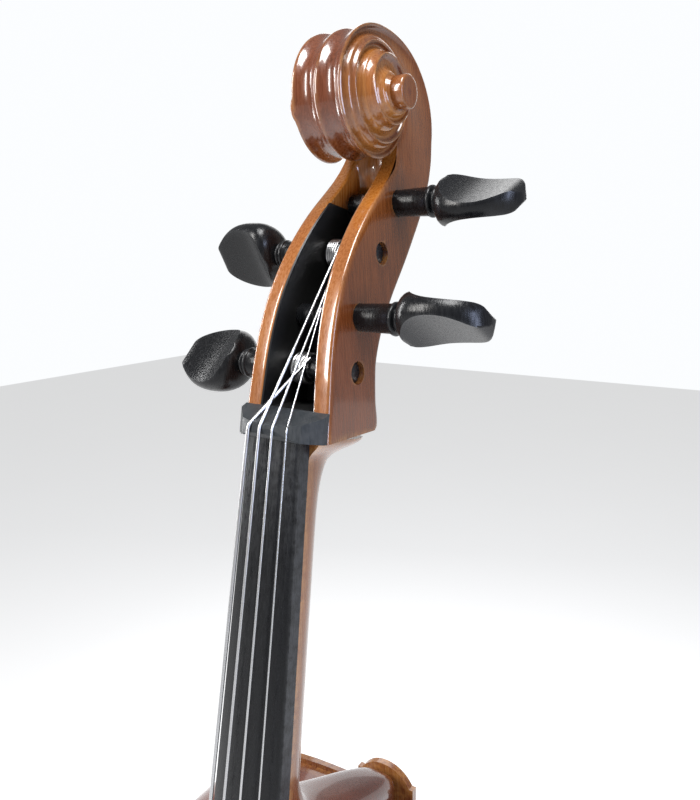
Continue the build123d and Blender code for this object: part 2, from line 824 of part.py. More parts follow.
def string_lane(name):
    """Where across the pegbox the string meets its peg, beside the turns."""
    head_side = peg_places[name][2]
    return winding_centres[name] - head_side * (
        winding_half_width(name) + string_diameters[name] / 2 + string_gap
    )


def bend_lift(before, corner, after, radius):
    """How far a corner stands outside its rounded bend."""
    turn = (corner - before).get_angle(after - corner)
    return radius * (1 / cos(radians(turn / 2)) - 1)


def string_route(name):
    """The string's corners: peg, nut, bridge, and its ball in the tuner."""
    slot = string_slots[name]
    radius = string_diameters[name] / 2
    back, up, head_side, _ = peg_places[name]
    nut_x = slot * string_nut_spacing
    nut_sag = crown_sag(nut_crown_radius, nut_x)
    bridge_x = slot * bridge_string_spacing
    bridge_sag = crown_sag(bridge_crown_radius, bridge_x)
    nut_back = -nut_crown + nut_sag - radius + groove_depth
    nut_up = nut_crest - 0.6
    wrap = peg_radius(name, winding_centres[name]) + radius + string_gap
    towards = atan2(nut_up - up, nut_back - back)
    swing = hypot(nut_up - up, nut_back - back)
    contact = towards - atan2(sqrt(swing ** 2 - wrap ** 2), wrap)
    peg_end = neck_point(string_lane(name), back + wrap * cos(contact), up + wrap * sin(contact))
    nut_top = neck_point(nut_x, nut_back, nut_up)
    bridge_top = Vector(bridge_x, bridge_crown_y + bridge_sag - radius + groove_depth, bridge_height_place)
    ball = tail_point(slot * tuner_string_spacing, ball_place, -0.9 * slot * slot)
    nut_lift = bend_lift(peg_end, nut_top, bridge_top, nut_bend_radius)
    bridge_lift = bend_lift(nut_top, bridge_top, ball, bridge_bend_radius)
    return [
        peg_end,
        nut_top - neck_back * nut_lift,
        bridge_top + Vector(0, -bridge_lift, 0),
        ball,
    ]


def string_tube(name, spare=0):
    """The string from its peg to its ball, made thicker by spare."""
    route = string_route(name)
    with BuildPart() as tube:
        with BuildLine() as path:
            FilletPolyline(*route, radius=[nut_bend_radius, bridge_bend_radius])
        with BuildSketch(Plane(origin=route[0], z_dir=route[1] - route[0])):
            Circle(string_diameters[name] / 2 + spare)
        sweep(path=path.line)
    return tube.part


pivot_place = tailpiece_saddle_gap + tailpiece_length - tuner_pivot_inset
fork_place = pivot_place + 1.2
ball_place = fork_place - ball_diameter / 2 - 0.35
screw_place = pivot_place - tuner_arm

string_tubes = {name: string_tube(name) for name in string_diameters}
string_grooves = {name: string_tube(name, groove_clearance) for name in string_diameters}

with nut:
    for groove in string_grooves.values():
        add(groove, mode=Mode.SUBTRACT)
finish(nut.part, "nut")

# ---- Bridge ----

bridge_half = bridge_width / 2

with BuildPart() as bridge:
    with BuildSketch(Plane.XY.offset(bridge_height_place)):
        foot_y = -plate_outer - top_arch
        crown_half = 1.5 * bridge_string_spacing + 6
        crown_end = (crown_half, bridge_crown_y + crown_sag(bridge_crown_radius, crown_half))
        with BuildLine():
            Line((bridge_half, foot_y + 12), (bridge_half, foot_y + 2))
            Spline(
                (bridge_half, foot_y + 2),
                (bridge_half - 12, foot_y - 12),
                (bridge_half - 17, foot_y - 30),
                (bridge_half - 9, foot_y - 42),
                (bridge_half - 14, foot_y - 52),
                crown_end,
                tangents=[(0, -1), (-0.1, -1)],
            )
            ThreePointArc(crown_end, (0, bridge_crown_y), (-crown_half, crown_end[1]))
            Spline(
                (-bridge_half, foot_y + 2),
                (-bridge_half + 12, foot_y - 12),
                (-bridge_half + 17, foot_y - 30),
                (-bridge_half + 9, foot_y - 42),
                (-bridge_half + 14, foot_y - 52),
                (-crown_half, crown_end[1]),
                tangents=[(0, -1), (0.1, -1)],
            )
            Line((-bridge_half, foot_y + 2), (-bridge_half, foot_y + 12))
            Line((-bridge_half, foot_y + 12), (-bridge_half + 16, foot_y + 12))
            Spline(
                (-bridge_half + 16, foot_y + 12), (-bridge_half + 22, foot_y - 18),
                (0, foot_y - 32), (bridge_half - 22, foot_y - 18), (bridge_half - 16, foot_y + 12),
                tangents=[(-0.2, -1), (-0.2, 1)],
            )
            Line((bridge_half - 16, foot_y + 12), (bridge_half, foot_y + 12))
        make_face()
        with Locations((0, foot_y - 50)):
            Circle(7, mode=Mode.SUBTRACT)
        with Locations((21, foot_y - 52), (-21, foot_y - 52)):
            Ellipse(5, 9, mode=Mode.SUBTRACT)
    extrude(amount=bridge_foot_thickness / 2, both=True)
    with BuildSketch(Plane.YZ):
        with BuildLine():
            Polyline(
                (foot_y + 14, bridge_height_place - bridge_foot_thickness / 2),
                (foot_y + 14, bridge_height_place + bridge_foot_thickness / 2),
                (bridge_crown_y - 1, bridge_height_place + bridge_crown_thickness / 2),
                (bridge_crown_y - 1, bridge_height_place - bridge_crown_thickness / 2),
                close=True,
            )
        make_face()
    extrude(amount=bridge_width, both=True, mode=Mode.INTERSECT)
    outer_face = top_surface.moved(Location((0, -plate_thickness - rim_flat, 0)))
    under_feet = extrude(outer_face, amount=60, dir=(0, 1, 0), mode=Mode.PRIVATE)
    add(under_feet, mode=Mode.SUBTRACT)
    for groove in string_grooves.values():
        add(groove, mode=Mode.SUBTRACT)
finish(bridge.part, "bridge")

# ---- Strings and their turns on the pegs ----

for name, diameter in string_diameters.items():
    with BuildPart() as string:
        add(string_tubes[name])
        with Locations(Plane(origin=string_route(name)[-1], z_dir=(1, 0, 0))):
            Cylinder(ball_diameter / 2, tuner_lever_width + 0.6)
    finish(string.part, f"string_{name}")

    back, up, head_side, head_turn = peg_places[name]
    centre = winding_centres[name]
    peg_line = Axis(neck_point(0, back, up), (1, 0, 0))
    peg_plane = Plane(origin=neck_point(0, back, up), x_dir=(1, 0, 0), z_dir=neck_up)
    half_turns = winding_half_width(name)
    with BuildPart() as winding:
        with BuildSketch(peg_plane):
            inner = [peg_radius(name, centre - half_turns), peg_radius(name, centre + half_turns)]
            with BuildLine():
                Polyline(
                    (centre - half_turns, inner[0]),
                    (centre + half_turns, inner[1]),
                    (centre + half_turns, inner[1] + diameter / 2),
                    (centre + half_turns - diameter / 2, inner[1] + diameter),
                    (centre - half_turns + diameter / 2, inner[0] + diameter),
                    (centre - half_turns, inner[0] + diameter / 2),
                    close=True,
                )
            make_face()
        revolve(axis=peg_line)
    finish(winding.part, f"winding_{name}")

    outer = pegbox_half_width(up)
    collar = outer + peg_shank_out
    with BuildPart() as peg:
        with BuildSketch(peg_plane):
            with BuildLine():
                tip_x = -head_side * (outer - peg_tip_sunk)
                Polyline(
                    (tip_x, 0),
                    (tip_x, peg_radius(name, tip_x)),
                    (head_side * collar, peg_radius(name, head_side * collar)),
                    (head_side * collar, peg_collar_diameter / 2),
                    (head_side * (collar + 2.2), peg_collar_diameter / 2),
                    (head_side * (collar + 2.2), peg_head_neck / 2 + 1),
                    (head_side * (collar + 3.4), peg_head_neck / 2 + 1),
                    (head_side * (collar + 3.4), peg_collar_diameter / 2 - 1),
                    (head_side * (collar + 5), peg_collar_diameter / 2 - 1),
                    (head_side * (collar + 8), peg_head_neck / 2),
                    (head_side * (collar + 20), 0),
                    close=True,
                )
            make_face()
        revolve(axis=peg_line)
        wing_direction = neck_up * cos(radians(head_turn)) + neck_back * sin(radians(head_turn))
        wing_plane = Plane(
            origin=neck_point(head_side * (collar + 4), back, up),
            x_dir=(head_side, 0, 0),
            z_dir=Vector(head_side, 0, 0).cross(wing_direction),
        )
        with BuildSketch(wing_plane):
            half_head = peg_head_width / 2
            with BuildLine():
                Spline(
                    (0, peg_head_neck / 2 - 1),
                    (9, half_head - 4.5),
                    (22, half_head),
                    (36, half_head - 0.5),
                    (peg_head_length - 4, 0),
                    (36, -half_head + 0.5),
                    (22, -half_head),
                    (9, -half_head + 4.5),
                    (0, -peg_head_neck / 2 + 1),
                )
                Line((0, -peg_head_neck / 2 + 1), (0, peg_head_neck / 2 - 1))
            make_face()
        extrude(amount=peg_head_thickness / 2, both=True)
    finish(peg.part, f"peg_{name}")

# ---- Tail cord ----

tail_start = tailpiece_saddle_gap
tail_end = tailpiece_saddle_gap + tailpiece_length
cord_level = collar_bottom + collar_flange_thickness + 3.5
wrap_radius = collar_diameter / 2 + cord_radius + 0.1
cord_half = [
    tail_point(tail_cord_spacing / 2, tail_start + 13, -tail_depth),
    Vector(tail_cord_spacing / 2 + 0.5, -plate_outer - saddle_height - 2.6, body_bottom - 2),
    Vector(wrap_radius, -8, cord_level),
    Vector(wrap_radius, wrap_radius, cord_level),
]
cord_route = cord_half + [Vector(-point.X, point.Y, point.Z) for point in reversed(cord_half)]
with BuildPart() as tail_cord:
    with BuildLine() as path:
        FilletPolyline(*cord_route, radius=[5, 30, wrap_radius - 0.1, wrap_radius - 0.1, 30, 5])
    with BuildSketch(Plane(origin=cord_route[0], z_dir=cord_route[1] - cord_route[0])):
        Circle(cord_radius)
    sweep(path=path.line)
finish(tail_cord.part, "tail_cord")

# ---- Tailpiece and its tuners ----

with BuildPart() as tailpiece:
    with BuildSketch(tail_cross.offset(tail_start)):
        half = tailpiece_top_width / 2 + 1
        sag = crown_sag(tail_crown_radius, half)
        tail_bottom = tailpiece_drop + tailpiece_thickness
        with BuildLine():
            ThreePointArc((-half, tailpiece_drop + sag), (0, tailpiece_drop), (half, tailpiece_drop + sag))
            Polyline((half, tailpiece_drop + sag), (half, tail_bottom), (-half, tail_bottom),
                     (-half, tailpiece_drop + sag))
        make_face()
    extrude(amount=tailpiece_length)
    with BuildSketch(tail_face.offset(-2 * tail_bottom)):
        with BuildLine():
            half_end = tailpiece_end_width / 2
            half_top = tailpiece_top_width / 2
            Polyline(
                (-half_end, tail_start), (half_end, tail_start),
                (half_end + 3, tail_start + 70), (half_top, tail_end - 22),
            )
            Spline((half_top, tail_end - 22), (0, tail_end), (-half_top, tail_end - 22),
                   tangents=[(-0.15, 1), (-0.15, -1)])
            Polyline((-half_top, tail_end - 22), (-half_end - 3, tail_start + 70), (-half_end, tail_start))
        make_face()
    extrude(amount=3 * tail_bottom, mode=Mode.INTERSECT)
    for slot in string_slots.values():
        with BuildSketch(tail_face.offset(-2 * tail_bottom)):
            with Locations((slot * tuner_string_spacing, pivot_place)):
                Rectangle(tuner_slot_width, 15)
            with Locations((slot * tuner_string_spacing, screw_place)):
                Circle(tuner_screw_diameter / 2 + rod_clearance)
        extrude(amount=3 * tail_bottom, mode=Mode.SUBTRACT)
    with Locations(Plane(origin=tail_point(0, pivot_place, -pivot_depth), z_dir=(1, 0, 0))):
        Cylinder(tuner_rod_diameter / 2, tuner_rod_length, mode=Mode.SUBTRACT)
    add(tail_cord.part, mode=Mode.SUBTRACT)
finish(tailpiece.part, "tailpiece")

with BuildPart() as pivot_rod:
    with Locations(Plane(origin=tail_point(0, pivot_place, -pivot_depth), z_dir=(1, 0, 0))):
        Cylinder(tuner_rod_diameter / 2, tuner_rod_length)
finish(pivot_rod.part, "tuner_pivot_rod")

fret_place = tail_end - 8
with BuildPart() as fret:
    with BuildSketch(tail_cross.offset(fret_place)):
        half = 1.5 * tuner_string_spacing + 4
        low = tailpiece_drop + 0.02 + crown_sag(tail_crown_radius, half)
        with BuildLine():
            ThreePointArc((-half, low - 2.2), (0, 1.3), (half, low - 2.2))
            Polyline((half, low - 2.2), (half, low), (-half, low), (-half, low - 2.2))
        make_face()
    extrude(amount=fret_width)
    add(tailpiece.part, mode=Mode.SUBTRACT)
finish(fret.part, "tailpiece_fret")

for name, slot in string_slots.items():
    x = slot * tuner_string_spacing
    level = -0.9 * slot * slot
    with BuildPart() as lever:
        with BuildSketch(tail_side):
            with Locations((pivot_place, -pivot_depth)):
                Circle(3.2)
            with BuildLine():
                Polyline(
                    (pivot_place - 1.2, -pivot_depth), (fork_place, level), (fork_place, level + 3),
                    (fork_place + 2.6, level + 3), (pivot_place + 3.1, -pivot_depth),
                    close=True,
                )
            make_face()
            with BuildLine():
                Polyline(
                    (pivot_place - 2.5, -pivot_depth), (pivot_place - 4, -tail_bottom - 2.5),
                    (screw_place - 3, -tail_bottom - 3.2), (screw_place - 3, -tail_bottom - 5.2),
                    (pivot_place - 2.5, -tail_bottom - 5.2), (pivot_place + 2.5, -pivot_depth),
                    close=True,
                )
            make_face()
            with Locations((pivot_place, -pivot_depth)):
                Circle(tuner_rod_diameter / 2 + peg_clearance, mode=Mode.SUBTRACT)
        extrude(amount=tuner_lever_width / 2, both=True)
        fork_middle = tail_point(0, fork_place + 1, level + 2)
        with Locations(Plane(origin=fork_middle, x_dir=(1, 0, 0), z_dir=tail_front)):
            Box(string_diameters[name] + 2 * string_gap, 12, 7, mode=Mode.SUBTRACT)
    finish(lever.part.moved(Location((x, 0, 0))), f"tuner_lever_{name}")

    with BuildPart() as screw:
        with BuildSketch(tail_side):
            with BuildLine():
                Polyline(
                    (screw_place, -tail_bottom - 1.2),
                    (screw_place + tuner_screw_diameter / 2 - 0.6, -tail_bottom - 1.2),
                    (screw_place + tuner_screw_diameter / 2, -tail_bottom - 0.6),
                    (screw_place + tuner_screw_diameter / 2, -3.5),
                    (screw_place + tuner_knob_diameter / 2, -3.5),
                    (screw_place + tuner_knob_diameter / 2, 2.5),
                    (screw_place + tuner_knob_diameter / 2 - 1, 3.5),
                    (screw_place, 4),
                    close=True,
                )
            make_face()
        revolve(axis=Axis(tail_point(0, screw_place, 0), tail_front))
    finish(screw.part.moved(Location((x, 0, 0))), f"tuner_screw_{name}")

# ---- Saddle and endpin ----

with BuildPart() as saddle:
    with BuildSketch(Plane.YZ):
        with BuildLine():
            Polyline(
                (-plate_inner, body_bottom), (-plate_outer - saddle_height, body_bottom),
                (-plate_outer - saddle_height, body_bottom + 3),
                (-plate_outer, body_bottom + saddle_depth), (-plate_inner, body_bottom + saddle_depth),
                close=True,
            )
        make_face()
    extrude(amount=saddle_width / 2, both=True)
    saddle_lip = saddle.edges().filter_by(Axis.X).sort_by(Axis.Y)
    fillet(saddle_lip[0:2], 1.4)
finish(saddle.part, "saddle")

flange_top = collar_bottom + collar_flange_thickness
flange_middle = collar_bottom + collar_flange_thickness / 2
with BuildPart() as collar:
    with BuildSketch(Plane.XZ):
        with BuildLine():
            Polyline(
                (rod_diameter / 2 + rod_clearance, collar_bottom),
                (collar_flange_diameter / 2 - 2, collar_bottom),
                (collar_flange_diameter / 2, collar_bottom + 2),
                (collar_flange_diameter / 2, flange_top),
                (collar_diameter / 2, flange_top),
                (collar_diameter / 2, plug_top),
                (rod_diameter / 2 + rod_clearance, plug_top),
                close=True,
            )
        make_face()
    revolve(axis=Axis.Z)
    with Locations(Plane(origin=(collar_flange_diameter / 2, 0, flange_middle), z_dir=(1, 0, 0))):
        Cylinder(thumbscrew_diameter / 2 + 0.05, collar_flange_diameter - 2, mode=Mode.SUBTRACT)
finish(collar.part, "endpin_collar")

rod_start = rubber_height - 10
with BuildPart() as rod:
    with Locations((0, 0, rod_start)):
        Cylinder(rod_diameter / 2, rod_length, align=upwards)
    chamfer(rod.edges().group_by(Axis.Z)[-1], 1.5)
finish(rod.part, "endpin_rod")

with BuildPart() as rubber:
    with BuildSketch(Plane.XZ):
        with BuildLine():
            Line((0, 0), (rubber_flat_diameter / 2, 0))
            Spline(
                (rubber_flat_diameter / 2, 0), (rubber_diameter / 2, rubber_widest),
                (rod_diameter / 2 + rubber_neck_wall, rubber_neck),
                tangents=[(1, 0.7), (0, 1), (-1, 2)],
            )
            Line(
                (rod_diameter / 2 + rubber_neck_wall, rubber_neck),
                (rod_diameter / 2 + rubber_lip_wall, rubber_height),
            )
            Line((rod_diameter / 2 + rubber_lip_wall, rubber_height), (0, rubber_height))
            Line((0, rubber_height), (0, 0))
        make_face()
    revolve(axis=Axis.Z)
    with Locations((0, 0, rod_start)):
        Cylinder(rod_diameter / 2, rubber_height, align=upwards, mode=Mode.SUBTRACT)
finish(rubber.part, "endpin_rubber")

screw_tip = rod_diameter / 2 + string_gap
knob_start = collar_flange_diameter / 2 + 5
with BuildPart() as thumbscrew:
    with Locations(Plane(origin=(screw_tip, 0, flange_middle), z_dir=(1, 0, 0))):
        Cylinder(thumbscrew_diameter / 2, knob_start - screw_tip + 1, align=upwards)
    with Locations(Plane(origin=(knob_start, 0, flange_middle), z_dir=(1, 0, 0))):
        Cylinder(thumbscrew_knob / 2, thumbscrew_knob_length, align=upwards)
finish(thumbscrew.part, "endpin_thumbscrew")
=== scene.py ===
import math
import bpy
import bmesh
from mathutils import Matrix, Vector


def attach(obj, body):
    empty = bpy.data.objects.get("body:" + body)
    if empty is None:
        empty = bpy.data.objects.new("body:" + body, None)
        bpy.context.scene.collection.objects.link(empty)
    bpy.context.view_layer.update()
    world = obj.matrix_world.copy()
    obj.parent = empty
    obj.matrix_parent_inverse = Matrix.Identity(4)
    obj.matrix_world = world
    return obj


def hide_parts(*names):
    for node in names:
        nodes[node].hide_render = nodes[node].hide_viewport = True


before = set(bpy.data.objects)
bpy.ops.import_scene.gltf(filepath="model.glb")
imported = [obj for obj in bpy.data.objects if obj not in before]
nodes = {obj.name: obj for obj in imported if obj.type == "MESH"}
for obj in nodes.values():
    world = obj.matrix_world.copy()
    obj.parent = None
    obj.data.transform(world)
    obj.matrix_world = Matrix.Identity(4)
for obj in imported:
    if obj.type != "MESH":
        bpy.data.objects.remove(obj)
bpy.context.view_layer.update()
print("frame loaded", len(nodes), "nodes")

# the neck's own frame: across, back from the board, up from the nut (mm)
neckFrame = {"origin": Vector((0, -41.713, 1076.204)), "slope": 0.1875}
neckTilt = math.atan(neckFrame["slope"])
neckUp = Vector((0, math.sin(neckTilt), math.cos(neckTilt)))
neckBack = Vector((0, math.cos(neckTilt), -math.sin(neckTilt)))


def neckPoint(x, back, up):
    return (neckFrame["origin"] + Vector((x, 0, 0)) + neckBack * back + neckUp * up) / 1000


def smoothStep(low, high, value):
    t = min(1, max(0, (value - low) / (high - low)))
    return t * t * (3 - 2 * t)


def lookUp(table, value):
    # Smooth value from a short table of (place, value) pairs.
    if value <= table[0][0]:
        return table[0][1]
    for i in range(len(table) - 1):
        a, b = table[i], table[i + 1]
        if value <= b[0]:
            before = table[max(0, i - 1)]
            after = table[min(len(table) - 1, i + 2)]
            span = b[0] - a[0]
            t = (value - a[0]) / span
            slopeA = (b[1] - before[1]) / (b[0] - before[0]) * span
            slopeB = (after[1] - a[1]) / (after[0] - a[0]) * span
            return ((2 * t ** 3 - 3 * t ** 2 + 1) * a[1] + (t ** 3 - 2 * t ** 2 + t) * slopeA
                    + (-2 * t ** 3 + 3 * t ** 2) * b[1] + (t ** 3 - t ** 2) * slopeB)
    return table[-1][1]


# materials

def newGroup(name, inputs, outputs):
    # A shader node group with named sockets; returns it with its two end nodes.
    group = bpy.data.node_groups.new(name, "ShaderNodeTree")
    for label, kind, default in inputs:
        socket = group.interface.new_socket(label, in_out="INPUT", socket_type=kind)
        if default is not None:
            socket.default_value = default
    for label, kind in outputs:
        group.interface.new_socket(label, in_out="OUTPUT", socket_type=kind)
    start = group.nodes.new("NodeGroupInput")
    end = group.nodes.new("NodeGroupOutput")
    return group, start, end


def mathNode(tree, operation, a, b=None, clamp=False):
    node = tree.nodes.new("ShaderNodeMath")
    node.operation = operation
    node.use_clamp = clamp
    for index, value in enumerate((a, b)):
        if value is None:
            continue
        if isinstance(value, (int, float)):
            node.inputs[index].default_value = value
        else:
            tree.links.new(value, node.inputs[index])
    return node.outputs[0]


def mixColor(tree, factor, a, b):
    node = tree.nodes.new("ShaderNodeMix")
    node.data_type = "RGBA"
    for index, value in ((0, factor), (6, a), (7, b)):
        if isinstance(value, (int, float, tuple)):
            node.inputs[index].default_value = value
        else:
            tree.links.new(value, node.inputs[index])
    return node.outputs[2]


def noiseNode(tree, vector, scale, detail=4, roughness=0.55, distortion=0):
    node = tree.nodes.new("ShaderNodeTexNoise")
    node.inputs["Scale"].default_value = scale
    node.inputs["Detail"].default_value = detail
    node.inputs["Roughness"].default_value = roughness
    node.inputs["Distortion"].default_value = distortion
    if vector is not None:
        tree.links.new(vector, node.inputs["Vector"])
    return node.outputs["Fac"]


def scaledVector(tree, vector, scale):
    node = tree.nodes.new("ShaderNodeMapping")
    node.inputs["Scale"].default_value = scale
    tree.links.new(vector, node.inputs["Vector"])
    return node.outputs["Vector"]


def remap(tree, value, low, high, outLow=0, outHigh=1):
    node = tree.nodes.new("ShaderNodeMapRange")
    tree.links.new(value, node.inputs[0])
    for index, number in ((1, low), (2, high), (3, outLow), (4, outHigh)):
        node.inputs[index].default_value = number
    return node.outputs[0]


def buildGrainGroup():
    # Wood figure: long pores, cross flame and slow tone changes.
    group, start, end = newGroup(
        "woodGrain",
        [("Vector", "NodeSocketVector", None), ("Flame", "NodeSocketFloat", 0.5),
         ("Pores", "NodeSocketFloat", 0.5), ("Flame Scale", "NodeSocketFloat", 60)],
        [("Tone", "NodeSocketFloat"), ("Height", "NodeSocketFloat")],
    )
    vector = start.outputs["Vector"]
    streaks = noiseNode(group, scaledVector(group, vector, (900, 900, 26)), 1, 6, 0.65)
    fine = remap(group, streaks, 0.35, 0.75)
    bent = noiseNode(group, scaledVector(group, vector, (22, 22, 9)), 1, 2, 0.5)
    flameVector = scaledVector(group, vector, (0.3, 0.3, 1.6))
    bands = group.nodes.new("ShaderNodeTexNoise")
    bands.inputs["Detail"].default_value = 2
    bands.inputs["Distortion"].default_value = 0.6
    group.links.new(flameVector, bands.inputs["Vector"])
    group.links.new(start.outputs["Flame Scale"], bands.inputs["Scale"])
    flame = mathNode(group, "MULTIPLY", bands.outputs["Fac"], start.outputs["Flame"])
    pores = mathNode(group, "MULTIPLY", fine, start.outputs["Pores"])
    tone = mathNode(group, "ADD", flame, pores)
    tone = mathNode(group, "ADD", tone, mathNode(group, "MULTIPLY", bent, 0.35))
    group.links.new(tone, end.inputs["Tone"])
    group.links.new(fine, end.inputs["Height"])
    return group


def buildWearAndShadeGroup():
    # Edge wear and small scuffs as masks, and a mask of concave places for painted shade.
    group, start, end = newGroup(
        "edgeWearAndShade",
        [("Vector", "NodeSocketVector", None), ("Width", "NodeSocketFloat", 0.5),
         ("Scuffs", "NodeSocketFloat", 0.5)],
        [("Edge", "NodeSocketFloat"), ("Scuff", "NodeSocketFloat"), ("Hollow Shade", "NodeSocketFloat")],
    )
    geometry = group.nodes.new("ShaderNodeNewGeometry")
    point = geometry.outputs["Pointiness"]
    breakUp = noiseNode(group, start.outputs["Vector"], 260, 5, 0.6)
    edge = remap(group, point, 0.515, 0.60)
    edge = mathNode(group, "MULTIPLY", edge, remap(group, breakUp, 0.3, 0.6))
    edge = mathNode(group, "MULTIPLY", edge, start.outputs["Width"], clamp=True)
    # painted shade: low pointiness marks the concave places to darken
    hollow = remap(group, point, 0.49, 0.43)
    scratchVector = scaledVector(group, start.outputs["Vector"], (90, 90, 700))
    scratch = noiseNode(group, scratchVector, 1, 8, 0.7, 0.4)
    scuff = mathNode(group, "MULTIPLY", remap(group, scratch, 0.6, 0.78), start.outputs["Scuffs"])
    group.links.new(edge, end.inputs["Edge"])
    group.links.new(scuff, end.inputs["Scuff"])
    group.links.new(hollow, end.inputs["Hollow Shade"])
    return group


grainGroup = buildGrainGroup()
wearAndShadeGroup = buildWearAndShadeGroup()


def newMaterial(name):
    material = bpy.data.materials.new(name)
    material.use_nodes = True
    tree = material.node_tree
    shader = tree.nodes["Principled BSDF"]
    coords = tree.nodes.new("ShaderNodeTexCoord")
    return material, tree, shader, coords.outputs["Object"]


def addGroup(tree, group, vector, values=None):
    node = tree.nodes.new("ShaderNodeGroup")
    node.node_tree = group
    tree.links.new(vector, node.inputs["Vector"])
    for label, value in (values or {}).items():
        node.inputs[label].default_value = value
    return node


def addBump(tree, shader, height, strength, distance):
    bump = tree.nodes.new("ShaderNodeBump")
    bump.inputs["Strength"].default_value = strength
    bump.inputs["Distance"].default_value = distance
    tree.links.new(height, bump.inputs["Height"])
    tree.links.new(bump.outputs["Normal"], shader.inputs["Normal"])


def addRoughness(tree, shader, mask, low, high):
    tree.links.new(remap(tree, mask, 0, 1, low, high), shader.inputs["Roughness"])


def ramp(tree, value, stops):
    node = tree.nodes.new("ShaderNodeValToRGB")
    tree.links.new(value, node.inputs[0])
    elements = node.color_ramp.elements
    while len(elements) < len(stops):
        elements.new(0.5)
    for element, (place, color) in zip(elements, stops):
        element.position = place
        element.color = (*color, 1)
    return node.outputs["Color"]


varnish = {
    "dark": (0.035, 0.007, 0.003),
    "middle": (0.105, 0.019, 0.006),
    "light": (0.19, 0.042, 0.011),
    "amber": (0.19, 0.052, 0.009),
    "gold": (0.37, 0.125, 0.018),
    "pale": (0.50, 0.21, 0.04),
    "worn": (0.62, 0.31, 0.09),
    # deep: the painted shade colour for concave places
    "deep": (0.035, 0.009, 0.004),
}


def varnishMaterial(name, flame, flameScale):
    # Glossy spirit varnish over figured wood, thinner in the light places, with painted shade in the hollows
    # and towards the heel.
    material, tree, shader, vector = newMaterial(name)
    grain = addGroup(tree, grainGroup, vector, {"Flame": flame, "Pores": 0.28, "Flame Scale": flameScale})
    wearAndShade = addGroup(tree, wearAndShadeGroup, vector, {"Width": 0.8, "Scuffs": 0.35})
    slow = noiseNode(tree, vector, 14, 3, 0.5)
    tone = mathNode(tree, "ADD", grain.outputs["Tone"], mathNode(tree, "MULTIPLY", slow, 0.5))
    thick = ramp(tree, tone, [(0.3, varnish["dark"]), (0.58, varnish["middle"]), (0.95, varnish["light"])])
    thin = ramp(tree, tone, [(0.3, varnish["amber"]), (0.6, varnish["gold"]), (0.95, varnish["pale"])])
    # per-vertex tone: varnish thickness, and painted shade towards the heel
    toneAndShade = tree.nodes.new("ShaderNodeAttribute")
    toneAndShade.attribute_name = "toneAndShade"
    color = mixColor(tree, toneAndShade.outputs["Fac"], thick, thin)
    # painted shade: concave places mix towards the deep colour
    hollowShade = mathNode(tree, "MULTIPLY", wearAndShade.outputs["Hollow Shade"], 0.35)
    color = mixColor(tree, hollowShade, color, (*varnish["deep"], 1))
    color = mixColor(tree, mathNode(tree, "MULTIPLY", wearAndShade.outputs["Edge"], 0.55), color,
                     (*varnish["worn"], 1))
    tree.links.new(color, shader.inputs["Base Color"])
    dull = mathNode(tree, "ADD", wearAndShade.outputs["Scuff"], grain.outputs["Height"])
    addRoughness(tree, shader, dull, 0.2, 0.42)
    shader.inputs["Coat Weight"].default_value = 0.9
    shader.inputs["Coat Roughness"].default_value = 0.07
    shader.inputs["Coat IOR"].default_value = 1.55
    ripples = noiseNode(tree, vector, 70, 3, 0.5)
    height = mathNode(tree, "ADD", mathNode(tree, "MULTIPLY", grain.outputs["Height"], 0.12), ripples)
    addBump(tree, shader, height, 0.25, 0.0006)
    return material


ebony = {"dark": (0.004, 0.0042, 0.005), "streak": (0.016, 0.017, 0.02), "edge": (0.06, 0.062, 0.066, 1),
         "scuff": (0.035, 0.036, 0.04, 1), "reflection": 0.32}


def ebonyMaterial(name, base=ebony["dark"], light=ebony["streak"], gloss=0.2, scuffs=0.3):
    # Satin black ebony with fine streaks and worn edges.
    material, tree, shader, vector = newMaterial(name)
    grain = addGroup(tree, grainGroup, vector, {"Flame": 0.05, "Pores": 0.7, "Flame Scale": 20})
    wearAndShade = addGroup(tree, wearAndShadeGroup, vector, {"Width": 0.9, "Scuffs": scuffs})
    color = mixColor(tree, mathNode(tree, "MULTIPLY", grain.outputs["Tone"], 0.4), (*base, 1), (*light, 1))
    color = mixColor(tree, mathNode(tree, "MULTIPLY", wearAndShade.outputs["Edge"], 0.6), color, ebony["edge"])
    color = mixColor(tree, mathNode(tree, "MULTIPLY", wearAndShade.outputs["Scuff"], 0.5), color, ebony["scuff"])
    tree.links.new(color, shader.inputs["Base Color"])
    addRoughness(tree, shader, mathNode(tree, "ADD", wearAndShade.outputs["Scuff"], grain.outputs["Height"]),
                 gloss, gloss + 0.25)
    addBump(tree, shader, grain.outputs["Height"], 0.12, 0.0003)
    shader.inputs["Specular IOR Level"].default_value = ebony["reflection"]
    return material


def woodMaterial(name, dark, light, roughness=0.5, poreScale=0.5):
    # Bare or lightly sealed wood.
    material, tree, shader, vector = newMaterial(name)
    grain = addGroup(tree, grainGroup, vector, {"Flame": 0.15, "Pores": poreScale, "Flame Scale": 35})
    color = mixColor(tree, grain.outputs["Tone"], (*dark, 1), (*light, 1))
    tree.links.new(color, shader.inputs["Base Color"])
    addRoughness(tree, shader, grain.outputs["Height"], roughness, roughness + 0.15)
    addBump(tree, shader, grain.outputs["Height"], 0.3, 0.0003)
    return material


